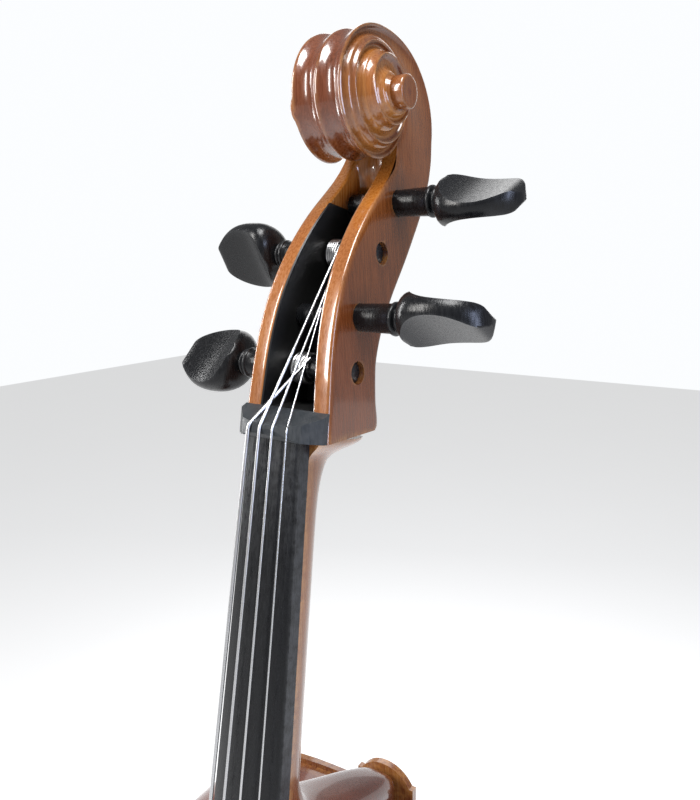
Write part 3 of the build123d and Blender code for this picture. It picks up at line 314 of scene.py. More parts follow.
def spruceMaterial(name):
    # Amber varnish over straight, close-grained spruce, its ramp darkened to carry painted shade too.
    material, tree, shader, vector = newMaterial(name)
    wave = tree.nodes.new("ShaderNodeTexWave")
    wave.bands_direction = "X"
    wave.inputs["Scale"].default_value = 120
    wave.inputs["Distortion"].default_value = 1.2
    wave.inputs["Detail"].default_value = 3
    tree.links.new(scaledVector(tree, vector, (1, 0.2, 0.04)), wave.inputs["Vector"])
    slow = noiseNode(tree, vector, 9, 3, 0.5)
    wearAndShade = addGroup(tree, wearAndShadeGroup, vector, {"Width": 0.6, "Scuffs": 0.3})
    tone = mathNode(tree, "ADD", mathNode(tree, "MULTIPLY", wave.outputs["Fac"], 0.4), slow)
    # dark ramp: varnish colour with painted shade, the plate being in shadow
    stops = [(0.25, (0.05, 0.011, 0.004)), (0.65, (0.15, 0.036, 0.009)), (1.0, (0.28, 0.09, 0.02))]
    color = ramp(tree, tone, stops)
    tree.links.new(color, shader.inputs["Base Color"])
    addRoughness(tree, shader, wearAndShade.outputs["Scuff"], 0.22, 0.45)
    shader.inputs["Coat Weight"].default_value = 0.8
    shader.inputs["Coat Roughness"].default_value = 0.08
    addBump(tree, shader, wave.outputs["Fac"], 0.12, 0.0003)
    return material


def windingMaterial(name, color, roughness=0.24, metallic=1.0, pitch=2600):
    # Flat-wound metal: fine rings along the string.
    material, tree, shader, vector = newMaterial(name)
    wave = tree.nodes.new("ShaderNodeTexWave")
    wave.bands_direction = "Z"
    wave.inputs["Scale"].default_value = pitch / 10
    tree.links.new(vector, wave.inputs["Vector"])
    smudge = noiseNode(tree, vector, 60, 4, 0.6)
    dimmer = tuple(c * 0.75 for c in color)
    tree.links.new(mixColor(tree, smudge, (*color, 1), (*dimmer, 1)), shader.inputs["Base Color"])
    shader.inputs["Metallic"].default_value = metallic
    addRoughness(tree, shader, smudge, roughness, roughness + 0.12)
    addBump(tree, shader, wave.outputs["Fac"], 0.2, 0.0001)
    return material


def plainMaterial(name, color, roughness=0.35, metallic=0.0, grainScale=400, grainBump=0.1):
    # Metal, plastic or rubber with a fine surface and faint smudges.
    material, tree, shader, vector = newMaterial(name)
    fine = noiseNode(tree, vector, grainScale, 4, 0.6)
    smudge = noiseNode(tree, vector, 40, 3, 0.5)
    wearAndShade = addGroup(tree, wearAndShadeGroup, vector, {"Width": 0.5, "Scuffs": 0.3})
    lighter = tuple(min(1, c * 1.35 + 0.01) for c in color)
    tone = mixColor(tree, smudge, (*color, 1), (*lighter, 1))
    tone = mixColor(tree, mathNode(tree, "MULTIPLY", wearAndShade.outputs["Edge"], 0.3), tone,
                    (*[min(1, c * 1.8 + 0.03) for c in color], 1))
    tree.links.new(tone, shader.inputs["Base Color"])
    shader.inputs["Metallic"].default_value = metallic
    addRoughness(tree, shader, smudge, roughness, roughness + 0.15)
    addBump(tree, shader, fine, grainBump, 0.0002)
    return material


looks = {
    "varnish": varnishMaterial("headVarnish", 0.12, 40),
    "ribVarnish": varnishMaterial("bodyVarnish", 0.3, 70),
    "spruce": spruceMaterial("spruceVarnish"),
    "boxBlack": plainMaterial("boxBlack", (0.004, 0.004, 0.004), 0.32, 0, 300, 0.25),
    "ebony": ebonyMaterial("boardEbony"),
    "nutEbony": ebonyMaterial("nutEbony", (0.014, 0.017, 0.02), (0.07, 0.08, 0.09), 0.3, 1.0),
    "pegEbony": ebonyMaterial("pegEbony", gloss=0.16, scuffs=0.15),
    "bare": woodMaterial("bareWood", (0.42, 0.28, 0.15), (0.66, 0.49, 0.3), 0.6),
    "bridge": woodMaterial("bridgeMaple", (0.36, 0.2, 0.09), (0.62, 0.41, 0.21), 0.42, 0.8),
    "inlay": plainMaterial("inlay", (0.02, 0.012, 0.008), 0.3),
    "string": windingMaterial("stringWinding", (0.78, 0.78, 0.79)),
    "silk": windingMaterial("purpleSilk", (0.16, 0.06, 0.2), 0.45, 0.0),
    "cord": plainMaterial("tailCordNylon", (0.02, 0.02, 0.02), 0.5),
    "alloy": plainMaterial("blackAlloy", (0.016, 0.016, 0.018), 0.32, 0, 700),
    "steel": plainMaterial("steel", (0.6, 0.6, 0.62), 0.2, 1.0, 900, 0.05),
    "rubber": plainMaterial("tipRubber", (0.018, 0.018, 0.018), 0.65, 0, 600, 0.3),
}

nodeLooks = {
    "top_plate": "spruce", "back_plate": "ribVarnish", "purfling_top": "inlay", "purfling_back": "inlay",
    "fingerboard": "ebony", "nut": "nutEbony", "saddle": "ebony", "endpin_collar": "pegEbony",
    "bridge": "bridge", "tail_cord": "cord", "tailpiece": "alloy", "tailpiece_fret": "alloy",
    "tuner_pivot_rod": "steel", "endpin_rod": "steel", "endpin_rubber": "rubber",
    "endpin_thumbscrew": "steel",
}
familyLooks = {"rib_": "ribVarnish", "string_": "string", "tuner_lever": "alloy", "tuner_screw": "steel"}
for name, node in nodes.items():
    families = [look for start, look in familyLooks.items() if name.startswith(start)]
    look = nodeLooks.get(name) or (families or ["bare"])[0]
    for materialSlot in node.material_slots:
        materialSlot.material = looks[look]

# radii of the worn edges (mm)
softEdges = {
    "nut": 2.0, "fingerboard": 0.5, "saddle": 0.8, "tailpiece": 0.8, "bridge": 0.4, "endpin_collar": 0.4,
}
sharpest = math.radians(38)
for name, width in softEdges.items():
    bevel = nodes[name].modifiers.new("softEdge", "BEVEL")
    bevel.width = width / 1000
    bevel.segments = 3
    bevel.limit_method = "ANGLE"
    bevel.angle_limit = sharpest
print("materials done")


# mesh helpers

def makeObject(name, meshBuilder, materials, smoothAngle=40):
    mesh = bpy.data.meshes.new(name)
    bm = bmesh.new()
    meshBuilder(bm)
    bmesh.ops.remove_doubles(bm, verts=bm.verts, dist=0.00002)
    bmesh.ops.recalc_face_normals(bm, faces=bm.faces)
    bm.to_mesh(mesh)
    bm.free()
    piece = bpy.data.objects.new(name, mesh)
    bpy.context.scene.collection.objects.link(piece)
    for material in materials:
        mesh.materials.append(material)
    for polygon in mesh.polygons:
        polygon.use_smooth = True
    mesh.set_sharp_from_angle(angle=math.radians(smoothAngle))
    return piece


def addGrid(bm, rows, material=0, closed=False, toneAndShade=None):
    # Faces between rows of points; material may be a number or a function of (row, column).
    layer = bm.verts.layers.float.get("toneAndShade") or bm.verts.layers.float.new("toneAndShade")
    grid = [[bm.verts.new(point) for point in row] for row in rows]
    if toneAndShade:
        for i, row in enumerate(grid):
            for j, vert in enumerate(row):
                vert[layer] = toneAndShade(i, j)
    for i in range(len(grid) - 1):
        count = len(grid[i])
        for j in range(count if closed else count - 1):
            k = (j + 1) % count
            corners = [grid[i][j], grid[i][k], grid[i + 1][k], grid[i + 1][j]]
            face = bm.faces.new(corners)
            face.material_index = material(i, j) if callable(material) else material
    return grid


def addCap(bm, ring, centre, material=0):
    middle = bm.verts.new(centre)
    for j in range(len(ring)):
        face = bm.faces.new([ring[j], ring[(j + 1) % len(ring)], middle])
        face.material_index = material


# pegbox and scroll

head = {
    "centre": (40.5, 162.5),
    "startRadius": 34.5, "shrink": 6.7, "flare": 26, "flareTurn": 60,
    "eyeStart": 940, "eyeEnd": 1180, "eyeRadius": 7.8, "eyeHalfWidth": 28.5,
    "eyeBoss": 8.1, "eyeInside": 18, "eyeFace": 34, "meet": -36,
    "cheek": 9.6, "nutHalfWidth": 25.6, "topHalfWidth": 17, "height": 150,
    "lip": 1.3, "coveDepth": 2.6, "flute": 2.7, "backFlute": 2.2,
    "frontEdge": [(-9, 9.0), (10, 9.0), (30, 9.4), (45, 10.9), (60, 14), (75, 19.4), (90, 27), (105, 37),
                  (120, 49.5), (135, 62), (146.5, 64)],
    "backPath": [(0, 51.4, -3.2), (0.1, 53, -1), (0.3, 52.6, 3.5), (0.6, 50.6, 12), (1, 49.5, 32),
                 (2, 59.4, 60), (3, 77.3, 90), (4, 93.4, 120), (4.8, 100.4, 143), (5.4, 101, 162.5)],
    "floor": [(-9, 43.5), (10, 43.5), (30, 42.5), (45, 45.5), (60, 51.5), (75, 60), (90, 68.5), (105, 74),
              (115, 74), (124, 70), (134, 66.5)],
}


def rimRadius(turn):
    radius = head["startRadius"] - head["shrink"] * max(turn, -90) / 360
    radius += head["flare"] * math.exp(-(turn / head["flareTurn"]) ** 2)
    return radius + (head["eyeRadius"] - radius) * smoothStep(head["eyeStart"], head["eyeEnd"], turn)


def rimWidth(turn):
    turns = max(0, turn) / 360
    width = 13.8 + 0.8 * turns + 1.45 * turns ** 2
    width += (head["eyeHalfWidth"] - width) * smoothStep(head["eyeStart"] + 60, head["eyeEnd"], turn) ** 1.3
    return width


def cheekHalf(up):
    # Half the pegbox's outer width at a height.
    taper = (head["nutHalfWidth"] - head["topHalfWidth"]) / head["height"]
    return head["nutHalfWidth"] - taper * up


def spiralPoint(turn, drawn=0):
    radius = rimRadius(turn) - drawn
    return (head["centre"][0] + radius * math.cos(math.radians(turn)),
            head["centre"][1] + radius * math.sin(math.radians(turn)))


# stations along the rim: first up the back of the pegbox, then round the volute
boxRows = 46
turnStep = 4
lastTurn = head["eyeEnd"]


def backPoint(t):
    # A point of the back edge for t from 0 at the chin to 1 where the volute starts.
    place = t * head["backPath"][-1][0]
    return (lookUp([(p[0], p[1]) for p in head["backPath"]], place),
            lookUp([(p[0], p[2]) for p in head["backPath"]], place))


meetPoint = spiralPoint(head["meet"] + 360)
meetShare = 0.80


def frontPoint(t):
    # The cheek's front edge for t from 0 at the nut to 1 where it meets the volute.
    up = -9 + (meetPoint[1] + 9) * t
    return (lookUp(head["frontEdge"][:-1] + [(meetPoint[1], meetPoint[0])], up), up)


stations = []
for i in range(boxRows):
    t = i / boxRows
    stations.append({"back": backPoint(t * meetShare), "front": frontPoint(t), "turn": None, "share": t})
turnsBeforeZero = 9
for i in range(turnsBeforeZero):
    t = i / turnsBeforeZero
    turn = head["meet"] * (1 - t)
    stations.append({"back": backPoint(meetShare + (1 - meetShare) * t), "front": spiralPoint(turn + 360),
                     "turn": turn, "share": 1})
turn = 0
while turn <= lastTurn:
    stations.append({"back": spiralPoint(turn), "front": spiralPoint(turn + 360), "turn": turn, "share": 1})
    turn += turnStep

sideShares = [0, 0.02, 0.05, 0.085, 0.12, 0.17, 0.24, 0.33, 0.43, 0.53, 0.63, 0.72, 0.8, 0.86, 0.91, 0.95,
              0.98, 1]


def sideRow(station, sign):
    # From the rim across the side face to the front edge or the next turn's rim.
    (b0, u0), (b1, u1) = station["back"], station["front"]
    turn = station["turn"]
    gap = math.hypot(b1 - b0, u1 - u0)
    row = []
    volute = 0 if turn is None else smoothStep(head["meet"], 110, turn)
    innerEnd = rimWidth(head["meet"] + 360 if turn is None else turn + 360) - 0.35
    joining = smoothStep(0.9, 1, station["share"])
    flatEnd = cheekHalf(u1) - 0.9
    for share in sideShares:
        flatBack = b0 + (b1 - b0) * share
        flatUp = u0 + (u1 - u0) * share
        roundEdge = 0.9 * (max(0, 1 - share * gap / 1.6) ** 2 + max(0, 1 - (1 - share) * gap / 2.4) ** 2)
        flatX = cheekHalf(flatUp) - roundEdge + (innerEnd - flatEnd) * joining * smoothStep(0.55, 1, share)
        if turn is None:
            row.append((sign * flatX, flatBack, flatUp))
            continue
        w0, w1 = rimWidth(turn), rimWidth(turn + 360)
        lipShare = min(0.3, head["lip"] / max(gap, 0.01))
        depth = head["coveDepth"] * min(1, gap / 7) * (1 - smoothStep(head["eyeStart"], head["eyeEnd"], turn))
        wallShare = 1 - min(0.3, 1.4 / max(gap, 0.01))
        foot = 0.3 - 0.18 * smoothStep(500, 860, turn)
        if share <= 0.05:
            place, x = lipShare * share / 0.05, w0 - 0.35 * abs(share / 0.025 - 1) ** 2
        elif share < 0.86:
            s = (share - 0.05) / 0.81
            place = lipShare + (wallShare - lipShare) * s
            sink = math.sin(math.pi * min(1, s * 1.15) ** 0.75) if s * 1.15 < 1 else 0
            x = w0 - depth * sink - 0.35 * (1 - s) ** 8 + (w1 - w0) * foot * smoothStep(0.6, 1, s)
        else:
            s = (share - 0.86) / 0.14
            place = wallShare + (1 - wallShare) * math.sin(s * math.pi / 2)
            x = w0 + (w1 - w0) * (foot + (1 - foot) * s) - 0.35 * smoothStep(0.7, 1, s)
        back = b0 + (b1 - b0) * place
        up = u0 + (u1 - u0) * place
        x = flatX + (x - flatX) * volute
        back = flatBack + (back - flatBack) * volute
        up = flatUp + (up - flatUp) * volute
        row.append((sign * x, back, up))
    return row


def fluteRow(left, right, inward, depth, columns=32):
    # Across the outer face from rim to rim: two flutes with a raised line between them.
    row = []
    for j in range(columns + 1):
        s = j / columns
        x = left[0] + (right[0] - left[0]) * s
        across = abs(2 * s - 1)
        hollow = 0
        if 0.05 < across < 0.92:
            hollow = math.sin(math.pi * min(1, max(0, (across - 0.05) / 0.87))) ** 0.85
        back = left[1] + inward[0] * depth * hollow
        up = left[2] + inward[1] * depth * hollow
        row.append((x, back, up))
    return row


def cavityRow(right, station):
    # Across the front of the pegbox: cheek edge, inner wall, floor, inner wall, cheek edge.
    up = station["front"][1]
    half = right[0]
    wall = head["cheek"] - 0.9
    inner = max(2.0, half - wall)
    floor = lookUp(head["floor"], up)
    edgeBack = right[1]
    closing = smoothStep(118, meetPoint[1] - 1, up)
    opening = smoothStep(5.2, 6.6, up)
    depth = (floor - edgeBack) * (1 - closing) * opening
    hollow = 1.8 * closing
    row = []
    profile = [(1, 0), (0.9, -0.12), (0.6, -0.2), (0.25, -0.15), (0.08, 0.05), (0, 0.5)]
    rightHalf = []
    for share, lift in profile:
        x = inner + (half - inner) * share
        rightHalf.append((x, edgeBack + lift * 1.2 * (1 - closing), up))
    for s in (0.08, 0.3, 0.6, 0.85, 0.96):
        rightHalf.append((inner - 0.6 * s, edgeBack + 0.6 * (1 - closing) + depth * s, up))
    for s in (0.97, 0.9, 0.7, 0.45, 0.2, 0):
        curve = math.sin(math.pi * s) if closing > 0 else 0
        rightHalf.append(((inner - 0.7) * s, edgeBack + 0.6 * (1 - closing) + depth * 1.0 + hollow * curve
                           + 0.5 * (1 - s) * opening * (1 - closing), up))
    for point in rightHalf[:-1]:
        row.append((-point[0], point[1], point[2]))
    for point in reversed(rightHalf):
        row.append(point)
    return row


def headMesh(bm):
    rowsRight = [sideRow(station, 1) for station in stations]
    rowsLeft = [sideRow(station, -1) for station in stations]

    def placed(rows):
        return [[neckPoint(*point) for point in row] for row in rows]

    def sideWarmth(i, j):
        turn = stations[i]["turn"]
        share = sideShares[j]
        up = rowsRight[i][j][2]
        plain = 0.16 + 0.16 * smoothStep(20, 110, up)
        if turn is None:
            return plain + 0.25 * smoothStep(0.93, 1, share)
        cove = smoothStep(0.07, 0.3, share) * (1 - 0.45 * smoothStep(0.8, 0.97, share))
        gold = (0.55 + 0.4 * smoothStep(60, 420, turn)) * cove
        return plain + (max(0.2, gold) - plain) * smoothStep(head["meet"], 90, turn)

    addGrid(bm, placed(rowsRight), toneAndShade=sideWarmth)
    addGrid(bm, placed(rowsLeft), toneAndShade=sideWarmth)
    flutes = []
    for index, station in enumerate(stations):
        turn = station["turn"]
        if turn is not None and turn > 360 + head["meet"] + 0.1:
            break
        (b0, u0), (b1, u1) = station["back"], station["front"]
        gap = math.hypot(b1 - b0, u1 - u0)
        inward = ((b1 - b0) / gap, (u1 - u0) / gap)
        depth = head["backFlute"] * smoothStep(0, 0.25, station["share"])
        if turn is not None:
            depth += (head["flute"] - head["backFlute"]) * smoothStep(0, 90, turn)
        flutes.append(fluteRow(rowsLeft[index][0], rowsRight[index][0], inward, depth))

    def fluteWarmth(i, j):
        return 0.12 + 0.2 * abs(math.sin(j * 0.4)) * smoothStep(90, 200, i)

    addGrid(bm, placed(flutes), toneAndShade=fluteWarmth)
    cavity = []
    for index, station in enumerate(stations[: boxRows + 1]):
        row = cavityRow(rowsRight[index][-1], station)
        share = smoothStep(boxRows - 7, boxRows, index)
        row = [tuple(a + (b - a) * share for a, b in zip(p, q)) for p, q in zip(row, flutes[-1])]
        cavity.append(row)
    columns = len(cavity[0])

    def paint(i, j):
        up = stations[i]["front"][1]
        inside = 4 <= j < columns - 5
        return 1 if inside and -2 < up < 112 else 0

    addGrid(bm, placed(cavity), paint, toneAndShade=lambda i, j: 0.62 if stations[i]["front"][1] < 108 else 0.85)
    # closed ends: below the nut, and the flat of the two eyes
    lower = [neckPoint(*p) for p in rowsRight[0]] + [neckPoint(*p) for p in cavity[0][::-1]]
    lower += [neckPoint(*p) for p in rowsLeft[0][::-1]] + [neckPoint(*p) for p in flutes[0]]
    addCap(bm, [bm.verts.new(p) for p in lower], neckPoint(0, 28, -8))
    for rows in (rowsRight, rowsLeft):
        ring = [row[-1] for row in rows[-int(360 / turnStep) - 1:]]
        edge = [bm.verts.new(neckPoint(*p)) for p in ring]
        middle = head["centre"]
        x = ring[0][0]
        inner = [bm.verts.new(neckPoint(x + (0.5 if x > 0 else -0.5),
                                        middle[0] + (p[1] - middle[0]) * 0.9,
                                        middle[1] + (p[2] - middle[1]) * 0.9)) for p in ring]
        for j in range(len(edge) - 1):
            bm.faces.new([edge[j], edge[j + 1], inner[j + 1], inner[j]])
        addCap(bm, inner[:-1], neckPoint(x + (0.6 if x > 0 else -0.6), *middle))
        sign = 1 if x > 0 else -1
        boss, face = head["eyeBoss"], head["eyeFace"]
        bossProfile = [
            (head["eyeInside"], boss), (24, boss), (30, boss), (face - 1.2, boss), (face - 0.6, boss - 0.15),
            (face - 0.2, boss - 0.6), (face, boss - 1.3), (face - 0.15, boss - 2.6), (face - 0.3, 2.5),
        ]
        rings = []
        for bossX, radius in bossProfile:
            ringPoints = []
            for k in range(48):
                angle = 2 * math.pi * k / 48
                ringPoints.append(neckPoint(sign * bossX, middle[0] + radius * math.cos(angle),
                                            middle[1] + radius * math.sin(angle)))
            rings.append(ringPoints)
        bossGrid = addGrid(bm, rings, closed=True, toneAndShade=lambda i, j: 0.25 if i > 3 else 0.35)
        addCap(bm, bossGrid[0], neckPoint(sign * head["eyeInside"], *middle))
        addCap(bm, bossGrid[-1], neckPoint(sign * (face - 0.3), *middle))


headPiece = makeObject("head_carving", headMesh, [looks["varnish"], looks["boxBlack"]], 50)
print("head made", len(headPiece.data.polygons))


# neck handle and heel

handle = {
    "setIn": 0.3,
    "bodyTop": 801, "heelHalf": 20, "buttonBack": 57.5, "mortise": 10,
    "root": [(8, 50), (10, 48.5), (12, 44), (14, 38), (17, 32), (21, 27.4), (26, 24.2), (32, 22), (40, 20.3),
             (60, 19.5)],
}


def boardHalf(down):
    return (31 + 32 * down / 580) / 2


def undersideAt(down):
    def thick(d):
        return 6.8 + 62 - math.sqrt(62 ** 2 - boardHalf(d) ** 2)
    return thick(0) + (thick(580) - thick(0)) / 580 * down


def handleMesh(bm):
    rows = []
    downs = [8, 9, 10.5, 12, 14, 16, 19, 22, 26, 30, 36, 45, 60, 80, 100, 120, 140, 160, 180, 196]
    downs += [200 + 3 * i for i in range(0, 32)]
    for down in downs:
        flat = undersideAt(down)
        depth = lookUp(handle["root"], down)
        heel = smoothStep(170, 236, down)
        if heel > 0:
            # the heel's back runs out to the button
            target = (handle["buttonBack"] - neckPoint(0, flat, -down).y * 1000) / math.cos(neckTilt)
            curve = smoothStep(176, 240, down) ** 1.7
            depth = depth + (target - depth) * curve
        half = boardHalf(down) - handle["setIn"] + 6 * (1 - smoothStep(8, 18, down))
        half = half + (handle["heelHalf"] - half) * smoothStep(180, 250, down)
        count = 34
        row = []
        power = 2.15 + 1.1 * smoothStep(190, 250, down) + 1.8 * (1 - smoothStep(9, 19, down))
        for j in range(count + 1):
            angle = math.pi * j / count
            c, s = math.cos(angle), math.sin(angle)
            x = half * math.copysign(abs(c) ** (2 / power), c)
            back = flat + 2.2 + (depth - 2.2) * abs(s) ** (2 / power)
            if j in (0, count):
                back = flat
            point = neckPoint(x, back, -down)
            point.z = max(point.z, (handle["bodyTop"] - handle["mortise"]) / 1000)
            row.append(point)
        rows.append(row)
    # painted shade: the tone falls towards the heel, which sits in shadow
    grid = addGrid(bm, rows, closed=True, toneAndShade=lambda i, j: 0.4 * (1 - smoothStep(120, 230, downs[i])))
    for ring, row in ((grid[0], rows[0]), (grid[-1], rows[-1])):
        addCap(bm, ring, sum(row, Vector()) / len(row))


handlePiece = makeObject("neck_handle", handleMesh, [looks["varnish"]], 55)
for piece in (headPiece, handlePiece):
    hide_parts("neck_and_scroll")
    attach(piece, "instrument")
print("neck done")

# pegs

# each peg: back, up (mm), side of its head, turn of its head (degrees)
pegs = {
    "c": (31.9, 25.1, -1, 35), "g": (49.8, 86.5, -1, -40),
    "d": (64.5, 115.4, 1, 58), "a": (32.3, 52.2, 1, -75),
    "headRadius": 6.8, "tipRadius": 5.6, "shankOut": 19, "tipSunk": 2.5,
}


def pegMesh(name):
    back, up, side, headTurn = pegs[name]
    outer = cheekHalf(up)
    collar = outer + pegs["shankOut"]

    def shank(x):
        slope = (pegs["headRadius"] - pegs["tipRadius"]) / (2 * outer)
        return (pegs["headRadius"] + pegs["tipRadius"]) / 2 + slope * x

    profile = [(-(outer - pegs["tipSunk"]), shank(-outer) - 0.6),
               (-(outer - pegs["tipSunk"] - 0.6), shank(-outer))]
    for i in range(8):
        x = -(outer - 3.2) + (outer - 3.2 + collar - 0.5) * i / 7
        profile.append((x, shank(x)))
    profile += [(collar - 0.2, shank(collar) + 0.3), (collar, 7.4), (collar + 0.5, 8.1), (collar + 1.4, 8.25),
                (collar + 2.1, 7.9), (collar + 2.5, 6.6), (collar + 2.9, 6.2), (collar + 3.3, 6.6),
                (collar + 3.7, 7.3), (collar + 4.4, 7.4), (collar + 5, 7.0), (collar + 5.6, 6.0)]
    around = 40
    start = -math.asin(0.97)
    wing = neckUp * math.cos(math.radians(headTurn)) + neckBack * math.sin(math.radians(headTurn))
    flat = Vector((side, 0, 0)).cross(wing)
    base = neckPoint(0, back, up)
    # half width across the wings, half depth of the bulb, and half thickness between the thumb faces
    wings = [(5.6, 6.0), (6.6, 10.0), (8, 13.8), (10, 16.4), (14, 18.7), (20, 19.5), (27, 19.2), (34, 17.6),
             (40, 14.6), (45, 10.2), (48, 5.8), (49, 2.2)]
    bulbs = [(5.6, 6.0), (6.6, 9.0), (8, 11.2), (10, 12.4), (16, 12.8), (49, 12.8)]
    thicks = [(5.6, 14), (8, 12), (10, 10.6), (13, 8.2), (17, 6.0), (22, 4.5), (28, 3.9), (34, 4.0),
              (40, 4.7), (44, 5.2), (47, 4.6), (49, 2.2)]

    def build(bm):
        rows = []
        for x, radius in profile:
            row = []
            for j in range(around):
                angle = start + 2 * math.pi * j / around
                offset = (wing * math.cos(angle) + flat * math.sin(angle)) * radius
                row.append(base + (Vector((side * x, 0, 0)) + offset) / 1000)
            rows.append(row)
        arc, across = 11, 9
        for i in range(1, 40):
            x = 5.6 + 43.4 * i / 39
            wide, deep, thick = lookUp(wings, x), lookUp(bulbs, x), lookUp(thicks, x)
            corner = math.asin(min(0.97, thick / deep))
            row = []
            for flip in (1, -1):
                for j in range(arc):
                    angle = -corner + 2 * corner * j / (arc - 1)
                    row.append((flip * wide * math.cos(angle), flip * deep * math.sin(angle)))
                for j in range(1, across + 1):
                    u = math.cos(corner) * (1 - 2 * j / (across + 1))
                    row.append((flip * wide * u, flip * deep * min(thick / deep, math.sqrt(1 - u * u))))
            place = Vector((side * (collar + x), 0, 0))
            rows.append([base + (place + wing * u + flat * v) / 1000 for u, v in row])
        grid = addGrid(bm, rows, closed=True)
        for ring, row in ((grid[0], rows[0]), (grid[-1], rows[-1])):
            addCap(bm, ring, sum(row, Vector()) / len(row))
    return build


def holesMesh(bm):
    # Tapered cutters for the four pairs of peg holes.
    for name in "cgda":
        back, up, side = pegs[name][:3]
        reach = cheekHalf(up) + 4
        slope = (pegs["headRadius"] - pegs["tipRadius"]) / (2 * cheekHalf(up)) * side
        middle = (pegs["headRadius"] + pegs["tipRadius"]) / 2 + 0.12
        rows = []
        for x in (-reach, reach):
            row = []
            for j in range(40):
                angle = 2 * math.pi * j / 40
                radius = middle + slope * x
                row.append(neckPoint(x, back + radius * math.cos(angle), up + radius * math.sin(angle)))
            rows.append(row)
        grid = addGrid(bm, rows, closed=True)
        addCap(bm, grid[0], neckPoint(-reach, back, up))
        addCap(bm, grid[1], neckPoint(reach, back, up))


def cutWith(piece, cutter, smoothAngle):
    # Cuts one closed mesh with another and keeps the result as a plain mesh.
    modifier = piece.modifiers.new("cut", "BOOLEAN")
    modifier.object = cutter
    modifier.operation = "DIFFERENCE"
    modifier.solver = "EXACT"
    bpy.context.view_layer.update()
    graph = bpy.context.evaluated_depsgraph_get()
    mesh = bpy.data.meshes.new_from_object(piece.evaluated_get(graph))
    piece.modifiers.clear()
    piece.data = mesh
    mesh.set_sharp_from_angle(angle=math.radians(smoothAngle))
    bpy.data.objects.remove(cutter)


cutter = makeObject("peg_hole_cutter", holesMesh, [looks["varnish"]])
cutWith(headPiece, cutter, 50)
print("peg holes cut", len(headPiece.data.polygons))

for name in "cgda":
    piece = makeObject(f"peg_{name}_turned", pegMesh(name), [looks["pegEbony"]], 60)
    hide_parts(f"peg_{name}")
    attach(piece, f"peg_{name}")
print("pegs done")


# string turns on the pegs (geometry nodes)

def buildTurnsTree():
    # A string wound round a peg: a helix swept with the string's section.
    tree = bpy.data.node_groups.new("stringTurns", "GeometryNodeTree")
    tree.interface.new_socket("Geometry", in_out="INPUT", socket_type="NodeSocketGeometry")
    for label, kind in (("Turns", "NodeSocketFloat"), ("Start Radius", "NodeSocketFloat"),
                        ("End Radius", "NodeSocketFloat"), ("Width", "NodeSocketFloat"),
                        ("String Radius", "NodeSocketFloat"), ("Centre", "NodeSocketVector"),
                        ("Material", "NodeSocketMaterial")):
        tree.interface.new_socket(label, in_out="INPUT", socket_type=kind)
    tree.interface.new_socket("Geometry", in_out="OUTPUT", socket_type="NodeSocketGeometry")
    start = tree.nodes.new("NodeGroupInput")
    end = tree.nodes.new("NodeGroupOutput")
    spiral = tree.nodes.new("GeometryNodeCurveSpiral")
    spiral.inputs["Resolution"].default_value = 36
    profile = tree.nodes.new("GeometryNodeCurvePrimitiveCircle")
    profile.inputs["Resolution"].default_value = 12
    sweep = tree.nodes.new("GeometryNodeCurveToMesh")
    sweep.inputs["Fill Caps"].default_value = True
    move = tree.nodes.new("GeometryNodeTransform")
    move.inputs["Rotation"].default_value = (0, math.pi / 2, 0)
    realize = tree.nodes.new("GeometryNodeRealizeInstances")
    paint = tree.nodes.new("GeometryNodeSetMaterial")
    smooth = tree.nodes.new("GeometryNodeSetShadeSmooth")
    links = [
        (start.outputs["Turns"], spiral.inputs["Rotations"]),
        (start.outputs["Start Radius"], spiral.inputs["Start Radius"]),
        (start.outputs["End Radius"], spiral.inputs["End Radius"]),
        (start.outputs["Width"], spiral.inputs["Height"]),
        (start.outputs["String Radius"], profile.inputs["Radius"]),
        (spiral.outputs["Curve"], sweep.inputs["Curve"]),
        (profile.outputs["Curve"], sweep.inputs["Profile Curve"]),
        (sweep.outputs["Mesh"], move.inputs["Geometry"]),
        (start.outputs["Centre"], move.inputs["Translation"]),
        (move.outputs["Geometry"], smooth.inputs["Geometry"]),
        (smooth.outputs["Geometry"], realize.inputs["Geometry"]),
        (realize.outputs["Geometry"], paint.inputs["Geometry"]),
        (start.outputs["Material"], paint.inputs["Material"]),
        (paint.outputs["Geometry"], end.inputs["Geometry"]),
    ]
    for a, b in links:
        tree.links.new(a, b)
    return tree


def fromNodes(name, tree, values):
    # Runs a geometry node tree on an empty mesh and keeps the result as a plain mesh.
    carrier = bpy.data.objects.new(name, bpy.data.meshes.new(name + "_seed"))
    bpy.context.scene.collection.objects.link(carrier)
    modifier = carrier.modifiers.new("nodes", "NODES")
    modifier.node_group = tree
    for item in tree.interface.items_tree:
        if item.item_type == "SOCKET" and item.in_out == "INPUT" and item.name in values:
            modifier[item.identifier] = values[item.name]
    bpy.context.view_layer.update()
    graph = bpy.context.evaluated_depsgraph_get()
    mesh = bpy.data.meshes.new_from_object(carrier.evaluated_get(graph))
    carrier.modifiers.clear()
    carrier.data = mesh
    mesh.name = name
    return carrier


